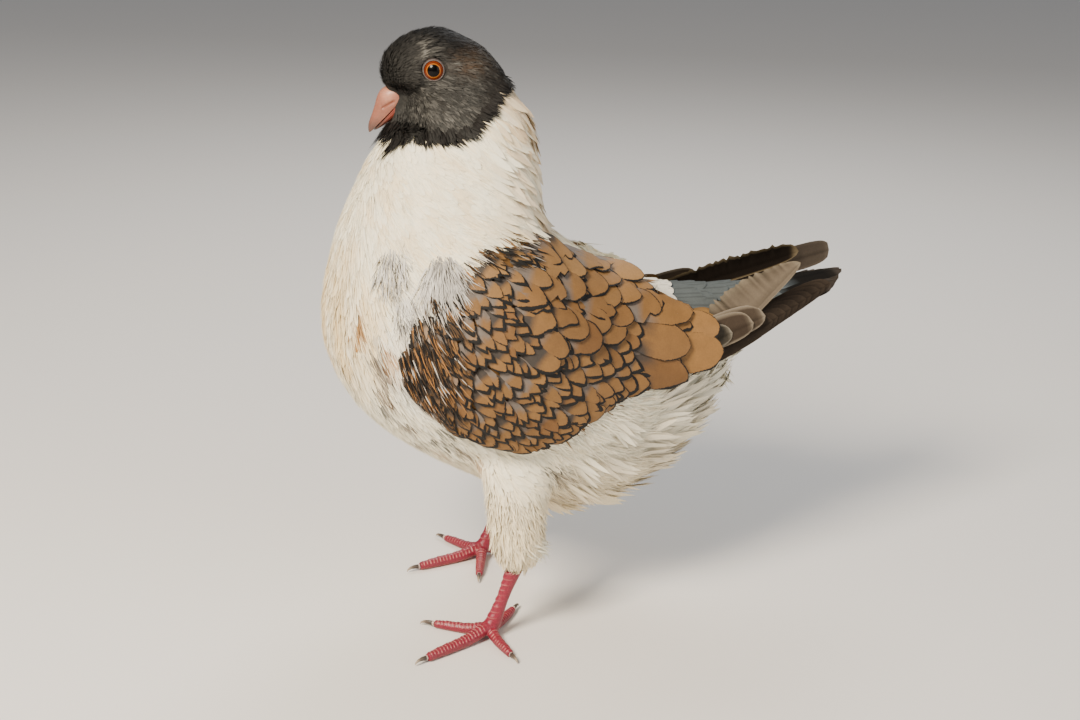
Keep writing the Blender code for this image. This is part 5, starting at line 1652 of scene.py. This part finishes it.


# loose down with dark hairs: where, how far it spreads, where its hairs spread from, their share and
# lengths, and its grey clouding, partly painted shadow

downPatches = {
    "shoulder": {"middle": (40.5, -74.0, 142.0), "focus": (35.0, -73.0, 155.0), "reach": 7.0, "gap": 0.5,
                 "hairs": 0.07, "lengths": (5.0, 11.0), "lift": 2.5, "cloud": 0.4},
    "collar": {"middle": (27.0, -86.8, 141.0), "focus": (20.0, -81.0, 154.0), "reach": 6.5, "gap": 0.75,
               "hairs": 0.24, "lengths": (3.5, 6.5), "lift": 1.9, "cloud": 0.25},
    "below": {"middle": (33.5, -83.0, 128.0), "focus": (27.0, -85.0, 142.0), "reach": 5.5, "gap": 0.75,
              "hairs": 0.35, "lengths": (4.0, 7.5), "lift": 2.0, "cloud": 0.25},
}
downLook = {"down": "dcd8d0", "hair": "26211d", "hairWidth": 0.2, "downWidth": 0.5, "hairLift": 0.4,
            "fall": (0.0, 0.25, -0.35), "stray": 0.26, "tries": 3000,
            "shape": strand, "sink": 0.9, "curve": 0.9, "roll": 0.2}


def growDown():
    for name, patch in downPatches.items():
        for word, side in (("Left", 1.0), ("Right", -1.0)):
            mirror = np.array((side, 1.0, 1.0))
            middle = np.array(patch["middle"]) * mirror

            def keep(points):
                away = np.linalg.norm((points - middle) * (1.0, 1.0, 0.75), axis=1)
                return ramp(patch["reach"], 0.5 * patch["reach"], away)

            roots = scatter(downLook["tries"], patch["gap"], keep)
            found, outs, _ = nearestOn(skinTree, roots)
            count = len(roots)
            headings = unit(roots - np.array(patch["focus"]) * mirror) + np.array(downLook["fall"])
            headings = tangent(headings + chance.normal(0.0, downLook["stray"], (count, 3)), outs)
            hair = chance.random(count) < patch["hairs"]
            # the down is clouded with grey: partly its own grey, partly painted shadow
            greyAndShadeCloud = np.clip(patch["cloud"] + 0.6 * clumps(roots, 5.0, 7.0), 0, 0.85)
            tints = mixTo(np.tile(paint(downLook["down"]), (count, 1)), paint(coatColours["grey"]), greyAndShadeCloud)
            tints = np.where(hair[:, None], paint(downLook["hair"]), tints)
            widths = np.where(hair, downLook["hairWidth"], downLook["downWidth"])
            widths = widths * chance.uniform(0.8, 1.2, count)
            lengths = chance.uniform(*patch["lengths"], count)
            lifts = patch["lift"] * chance.uniform(0.8, 1.25, count) + downLook["hairLift"] * hair
            layTract(name + "Down" + word, skinTree, found, headings, lengths, widths, lifts, downLook,
                     tints, spreadPlaces(roots[:, 1], roots[:, 2]))


for wingWord, wingSide in (("left", 1.0), ("right", -1.0)):
    growCoverts(wingWord, wingSide)
    growStreaks(wingWord, wingSide)
growDown()


# flight and tail feathers, each with its own place, colours and worn edge

flightVane = {"shares": (0.0, 0.06, 0.13, 0.20, 0.28, 0.36, 0.44, 0.52, 0.60, 0.68, 0.75, 0.81, 0.87, 0.92,
                         0.955, 0.98, 1.0),
              "widths": (0.30, 0.55, 0.70, 0.80, 0.87, 0.92, 0.96, 0.985, 1.0, 1.0, 0.98, 0.95, 0.88, 0.76,
                         0.60, 0.38), "columns": 9, "thickness": 0.45, "cup": 0.12}
wingFans = {
    "primary": {"count": 10, "upper": (5.4, 5.4, 5.4, 5.4), "lower": 3.8,
                "firstRoot": (33.5, 13.8, 93.0), "firstTip": (28.0, 61.8, 111.5),
                "lastRoot": (25.5, 17.8, 94.5), "lastTip": (20.0, 90.6, 122.4),
                "facing": 0.12, "bend": 0.9, "body": "332c26", "edge": "40372f"},
    "inner": {"count": 4, "upper": (6.0, 6.0, 6.0, 6.0), "lower": 6.0,
              "firstRoot": (33.0, 8.0, 105.0), "firstTip": (29.6, 38.0, 111.6),
              "lastRoot": (29.0, 10.0, 109.0), "lastTip": (27.0, 39.0, 114.6),
              "facing": 0.6, "bend": 1.0, "body": "8c6a40", "edge": "72583a"},
}
# the rearmost secondaries, each on its own: the last of them lies outermost
secondaries = (
    {"root": (32.0, 13.0, 102.5), "tip": (30.0, 57.3, 114.4), "upper": (6.4, 7.4, 7.4, 7.0), "lower": 4.0,
     "facing": 0.3, "bend": 0.8, "body": "4a4036", "edge": "968a79"},
    {"root": (33.5, 11.0, 101.5), "tip": (31.6, 51.6, 112.6), "upper": (6.0, 7.0, 7.4, 7.2), "lower": 4.4,
     "facing": 0.3, "bend": 0.8, "body": "443a31", "edge": "948876"},
    {"root": (34.5, 8.0, 99.0), "tip": (33.4, 38.5, 105.0), "upper": (4.0, 4.6, 4.8, 4.6), "lower": 3.4,
     "facing": 0.3, "bend": 0.8, "body": "8f7f66", "edge": "a89a82"},
    {"root": (34.8, 9.0, 101.0), "tip": (33.2, 42.2, 110.0), "upper": (5.0, 5.6, 5.8, 5.6), "lower": 3.8,
     "facing": 0.3, "bend": 0.8, "body": "48433a", "edge": "908879"},
)
liftedVanes = {
    "left": (
        {"root": (29.0, 36.3, 99.3), "tip": (30.0, 70.6, 134.2), "upper": (13.0, 17.5, 11.0, 4.2),
         "lower": 2.0, "facing": 0.2, "bend": -1.0, "body": "75695a", "edge": "928672", "ragged": 0.2},),
    "right": (
        {"root": (25.0, 28.0, 108.0), "tip": (19.0, 97.0, 124.4), "upper": (7.5, 8.6, 8.6, 8.0),
         "lower": 4.0, "facing": 0.3, "bend": -1.0, "body": "241e19", "edge": "8e7d60", "ragged": 0.32},
        {"root": (27.5, 66.0, 113.0), "tip": (21.5, 112.5, 123.4), "upper": (2.0, 4.5, 6.8, 6.8),
         "lower": 6.0, "facing": 0.3, "bend": -0.6, "body": "4b433b", "edge": "5d544a", "ragged": 0.0,
         "blunt": 0.6}),
}
tailFan = {"count": 12, "root": (0.0, 41.5, 113.0), "tip": (0.0, 106.3, 121.8),
           "upper": (6.0, 6.0, 6.0, 6.0), "lower": 6.0, "rootSpacing": 1.4, "tipSpacing": 1.9, "layer": 0.55,
           "overlap": 0.12, "rounding": 1.2, "turn": 0.07, "bend": 0.4,
           "body": "5d656a", "edge": "727a7e", "band": "171513", "end": "3c352f"}
# a lifted vane has many rows, so that its torn barbs can show
tornShares = np.linspace(0.0, 1.0, 61)
tornVane = {"shares": tornShares, "columns": 9, "thickness": 0.4, "cup": 0.05, "teeth": 17.0,
            "widths": np.interp(tornShares[:-1], flightVane["shares"][:-1], flightVane["widths"])}
webStations = (0.0, 0.25, 0.66, 1.0)


def vaneRows(vane, shape, root, tip, side):
    # side turns the upper web to the right edge of the vane on each wing
    shares = np.array(shape["shares"])
    facing = unit(np.array((side, 0.0, vane["facing"])))
    bend = vane["bend"] * np.sin(np.pi * shares)
    places = root + (tip - root) * shares[:, None] + facing * bend[:, None]
    outline = np.array(shape["widths"]) ** vane.get("blunt", 1.0)
    upper = outline * np.interp(shares[:-1], webStations, vane["upper"])
    lower = outline * vane["lower"]
    torn = np.zeros(len(outline))
    if "ragged" in vane:
        # teeth of uneven length, each torn back further than the last until the next begins
        walk = shares[:-1] * shape["teeth"] + 0.9 * np.sin(11.0 * shares[:-1])
        walk = walk + 0.5 * np.sin(37.0 * shares[:-1])
        rough = 0.65 * (walk % 1.0) + 0.35 * chance.random(len(outline))
        torn = vane["ragged"] * rough * ramp(0.05, 0.2, shares[:-1])
        upper = upper * (1.05 - torn)
    webs = (upper, lower) if side > 0 else (lower, upper)
    return places, np.tile(facing, (len(shares), 1)), np.stack(webs, axis=1), torn


def vaneTints(look, shape, torn=None, upperFirst=True):
    # upperFirst: the upper web is the first of the two
    rowCount = len(shape["widths"])
    columns = vaneTemplate(rowCount, shape["columns"])["columns"]
    shares = np.array(shape["shares"])[:rowCount]
    base = np.tile(paint(look["body"]), (rowCount, len(columns), 1))
    rim = np.clip((np.abs(columns) - 0.78) / 0.22, 0.0, 1.0)[None, :, None] * np.ones((rowCount, 1, 1))
    rim = np.maximum(rim, ramp(0.94, 0.99, shares)[:, None, None])
    base = base + (paint(look["edge"]) - base) * rim * 0.85
    if "band" in look:
        dark = (ramp(0.55, 0.64, shares) * (1.0 - 0.55 * ramp(0.92, 0.98, shares)))[:, None, None]
        base = base + (paint(look["band"]) - base) * dark
        last = ramp(0.9, 0.97, shares)[:, None, None]
        base = base + (paint(look["end"]) - base) * last
    # painted shade: the torn web is darker along each tooth, the shadows between its split barbs
    if torn is not None:
        upperHalf = columns < 0.0 if upperFirst else columns > 0.0
        cleft = (torn / max(float(torn.max()), 1e-6))[:, None] * (upperHalf * np.abs(columns))[None, :]
        base = base * (1.0 - 0.8 * cleft[:, :, None])
    shaft = (np.abs(columns) < 0.05)[None, :, None] * np.ones((rowCount, 1, 1))
    base = base * (1.0 - 0.3 * shaft)
    return np.concatenate([base.reshape(-1, 3), base[-1].mean(axis=0)[None, :]], axis=0)


def layFlight(name, shape, rows, nodes):
    places, ways, halves, tints = (np.array([row[part] for row in rows]) for part in range(4))
    count = len(rows)
    side = int(math.ceil(math.sqrt(count)))
    cell = 1.0 / side
    spots = np.array([((n % side + 0.5) * cell, (n // side + 0.5) * cell) for n in range(count)])
    piece = layVanes(name, places, ways, halves, shape, tints, noLace, spots, cell * 0.9)
    finishPiece(piece, featherFinish["flightVane"], nodes)
    print(name, count, "feathers", len(piece.data.polygons), "triangles")


def buildFlight(word, side):
    mirror = np.array((side, 1.0, 1.0))
    rows = []
    for fan in wingFans.values():
        for number in range(fan["count"]):
            share = number / (fan["count"] - 1)
            root = (np.array(fan["firstRoot"]) * (1 - share) + np.array(fan["lastRoot"]) * share) * mirror
            tip = (np.array(fan["firstTip"]) * (1 - share) + np.array(fan["lastTip"]) * share) * mirror
            tip = tip + unit(tip - root) * chance.uniform(-0.9, 0.9)
            places, ways, halves, _ = vaneRows(fan, flightVane, root, tip, side)
            rows.append((places, ways, halves, vaneTints(fan, flightVane)))
    for vane in secondaries:
        places, ways, halves, _ = vaneRows(vane, flightVane, np.array(vane["root"]) * mirror,
                                           np.array(vane["tip"]) * mirror, side)
        rows.append((places, ways, halves, vaneTints(vane, flightVane)))
    layFlight("flightFeathers" + word.capitalize(), flightVane, rows, ("wing_" + word,))
    rows = []
    for vane in liftedVanes[word]:
        places, ways, halves, torn = vaneRows(vane, tornVane, np.array(vane["root"]) * mirror,
                                              np.array(vane["tip"]) * mirror, side)
        rows.append((places, ways, halves, vaneTints(vane, tornVane, torn, side > 0)))
    layFlight("liftedFeathers" + word.capitalize(), tornVane, rows, ())


def buildTail():
    rows = []
    for number in range(tailFan["count"]):
        across = number - (tailFan["count"] - 1) / 2.0
        drop = -tailFan["layer"] * (abs(across) - 0.5) - (tailFan["overlap"] if across > 0 else 0.0)
        root = np.array(tailFan["root"]) + np.array((across * tailFan["rootSpacing"], 0.0, drop))
        rounding = tailFan["rounding"] * abs(across) ** 1.2 + chance.uniform(0.0, 1.0)
        tip = np.array(tailFan["tip"]) + np.array((across * tailFan["tipSpacing"], -rounding, drop))
        vane = dict(tailFan, facing=1.0 / (tailFan["turn"] * across))
        places, ways, halves, _ = vaneRows(vane, flightVane, root, tip, 1.0)
        if across < 0:
            ways = -ways
        rows.append((places, ways, halves, vaneTints(tailFan, flightVane)))
    layFlight("tailFeathers", flightVane, rows, ("tail",))


# upper tail coverts: long grey feathers that bridge the rump and the tail

rumpLook = {
    "rows": (0.0, 5.0, 9.0, 13.0, 17.0, 21.0, 26.0, 31.0, 36.0, 41.0, 46.0, 51.0, 56.0), "whiteUntil": 20.5,
    "half": 14.5, "step": 3.2, "stray": (0.6, 1.6), "length": 19.0, "lengths": (0.75, 1.15),
    "whiteLength": 0.7, "web": 3.4, "round": 0.024, "spread": 0.12, "rise": (-1.6, 2.0, 0.2), "curve": 0.8,
    "line": ((0.0, 129.5), (5.0, 128.3), (11.0, 126.6), (20.0, 123.6), (30.0, 121.4), (50.0, 119.4),
             (75.0, 118.0), (90.0, 119.0)),
    "grey": {"body": "5a6061", "edge": "606768"}, "white": {"body": "e9e3d4", "edge": "e9e3d4"},
}


def rumpHeight(x, y):
    places, heights = zip(*rumpLook["line"])
    return np.interp(y, places, heights) - rumpLook["round"] * x * x


def buildRump():
    rows = []
    shares = np.array(flightVane["shares"])
    count = int(2.0 * rumpLook["half"] / rumpLook["step"])
    halves = np.repeat(rumpLook["web"] * np.array(flightVane["widths"])[:, None], 2, axis=1)
    start, height, strayHeight = rumpLook["rise"]
    for order, rowPlace in enumerate(rumpLook["rows"]):
        # every second row has one feather more, so that the rows lie like tiles
        feathers = count + order % 2
        for number in range(feathers):
            x = (number - (feathers - 1) / 2.0) * rumpLook["step"] + chance.normal(0.0, rumpLook["stray"][0])
            y = rowPlace + chance.normal(0.0, rumpLook["stray"][1])
            white = y < rumpLook["whiteUntil"]
            length = rumpLook["length"] * chance.uniform(*rumpLook["lengths"])
            length = length * (rumpLook["whiteLength"] if white else 1.0)
            across = x * (1.0 + rumpLook["spread"] * shares)
            along = y + length * shares
            rise = start + (height + chance.normal(0.0, strayHeight)) * shares ** rumpLook["curve"]
            places = np.stack([across, along, rumpHeight(across, along) + rise], axis=1)
            lean = 2.0 * rumpLook["round"] * across
            ways = unit(np.stack([lean, np.zeros(len(shares)), np.ones(len(shares))], axis=1))
            look = rumpLook["white" if white else "grey"]
            rows.append((places, ways, halves, vaneTints(look, flightVane)))
    layFlight("rumpFeathers", flightVane, rows, ())


# loose tufts whose feathers stand apart from the coat under them

tuftLooks = {"ventTufts": {"feathers": 12, "spread": 1.7, "shade": 0.5},
             "bootTufts": {"feathers": 8, "spread": 0.9, "shade": 0.2}}
tuftEdges = {"behind": -26.0, "top": 86.0, "slope": 0.3, "bootTop": 50.0}


def atVent(points):
    top = tuftEdges["top"] + tuftEdges["slope"] * np.maximum(points[:, 1], 0.0)
    low = (points[:, 1] > tuftEdges["behind"]) & (points[:, 2] < top)
    return (low & (inWing(points) < 0.5) & (inBoot(points) < 0.2)).astype(float)


def atHock(points):
    return ((inBoot(points) > 0.5) & (points[:, 2] < tuftEdges["bootTop"])).astype(float)


def growTufts(name, keep):
    look = tuftLooks[name]
    middles = rootsOf(name, keep)
    count = look["feathers"]
    apart = chance.normal(0.0, look["spread"], (len(middles) * count, 3))
    roots, _, _ = nearestOn(skinTree, np.repeat(middles, count, axis=0) + apart)
    # painted shade: each tuft is darkened towards the tan-grey tuft colour by its own random amount
    shade = np.repeat(chance.uniform(0.0, look["shade"], len(middles)), count)
    tints = mixTo(markingsAndShade(roots, 1.0), paint(coatColours["tuft"]), shade)
    growTract(name, tracts[name], roots, spreadPlaces(roots[:, 0], roots[:, 1]), tints)


buildFlight("left", 1.0)
buildFlight("right", -1.0)
buildTail()
buildRump()
growTufts("ventTufts", atVent)
growTufts("bootTufts", atHock)


# stage, light and the photograph's camera

stageLook = {"floor": "e6e3df", "size": 4000.0, "roughness": 0.9, "sky": "dfe3ea", "skyStrength": 0.32}
studioLights = {
    "keyLight": {"place": (470.0, -680.0, 760.0), "aim": (0.0, 0.0, 110.0), "power": 23.5, "size": 320.0,
                 "colour": "fff1dc"},
    "fillLight": {"place": (800.0, 500.0, 450.0), "aim": (0.0, 0.0, 110.0), "power": 4.0, "size": 700.0,
                  "colour": "f4f0ea"},
    "rimLight": {"place": (-600.0, 300.0, 800.0), "aim": (0.0, 0.0, 130.0), "power": 4.5, "size": 400.0,
                 "colour": "ffffff"},
}


def buildFloor():
    work = bmesh.new()
    bmesh.ops.create_grid(work, x_segments=1, y_segments=1, size=stageLook["size"] * mm)
    floor = meshPiece("studioFloor", meshFrom(work, "studioFloor"))
    material, _, _ = startMaterial("paleFloorPaint", {
        "Base Color": srgb(stageLook["floor"]), "Roughness": stageLook["roughness"]})
    floor.data.materials.append(material)


def addLight(name, look):
    light = bpy.data.lights.new(name, "AREA")
    light.energy = look["power"]
    light.size = look["size"] * mm
    light.color = srgb(look["colour"])[:3]
    lamp = bpy.data.objects.new(name, light)
    bpy.context.scene.collection.objects.link(lamp)
    way = (Vector(look["aim"]) - Vector(look["place"])).normalized()
    turn = way.to_track_quat("-Z", "Y").to_matrix().to_4x4()
    lamp.matrix_world = Matrix.Translation(Vector(look["place"]) * mm) @ turn


cameraLook = {"place": (606.8, -254.65, 306.0), "bearing": 69.0, "down": 18.0, "roll": 1.4,
              "lens": 60.0, "sensor": 36.0}


def buildCamera():
    bearing = math.radians(cameraLook["bearing"])
    down = math.radians(cameraLook["down"])
    roll = math.radians(cameraLook["roll"])
    right = Vector((math.cos(bearing), math.sin(bearing), 0.0))
    back = Vector((math.sin(bearing), -math.cos(bearing), 0.0))
    forward = -back * math.cos(down) - Vector((0.0, 0.0, math.sin(down)))
    up = right.cross(forward)
    right2 = right * math.cos(roll) + up * math.sin(roll)
    up2 = up * math.cos(roll) - right * math.sin(roll)
    turn = Matrix((right2, up2, -forward)).transposed().to_4x4()
    camera = bpy.data.cameras.new("photoCamera")
    camera.lens = cameraLook["lens"]
    camera.sensor_width = cameraLook["sensor"]
    camera.clip_start = 0.01
    holder = bpy.data.objects.new("photoCamera", camera)
    bpy.context.scene.collection.objects.link(holder)
    holder.matrix_world = Matrix.Translation(Vector(cameraLook["place"]) * mm) @ turn
    bpy.context.scene.camera = holder


def buildWorld():
    world = bpy.data.worlds.new("softStudio")
    world.use_nodes = True
    background = world.node_tree.nodes["Background"]
    background.inputs["Color"].default_value = srgb(stageLook["sky"])
    background.inputs["Strength"].default_value = stageLook["skyStrength"]
    bpy.context.scene.world = world


buildFloor()
buildWorld()
for lightName, lightLook in studioLights.items():
    addLight(lightName, lightLook)
buildCamera()
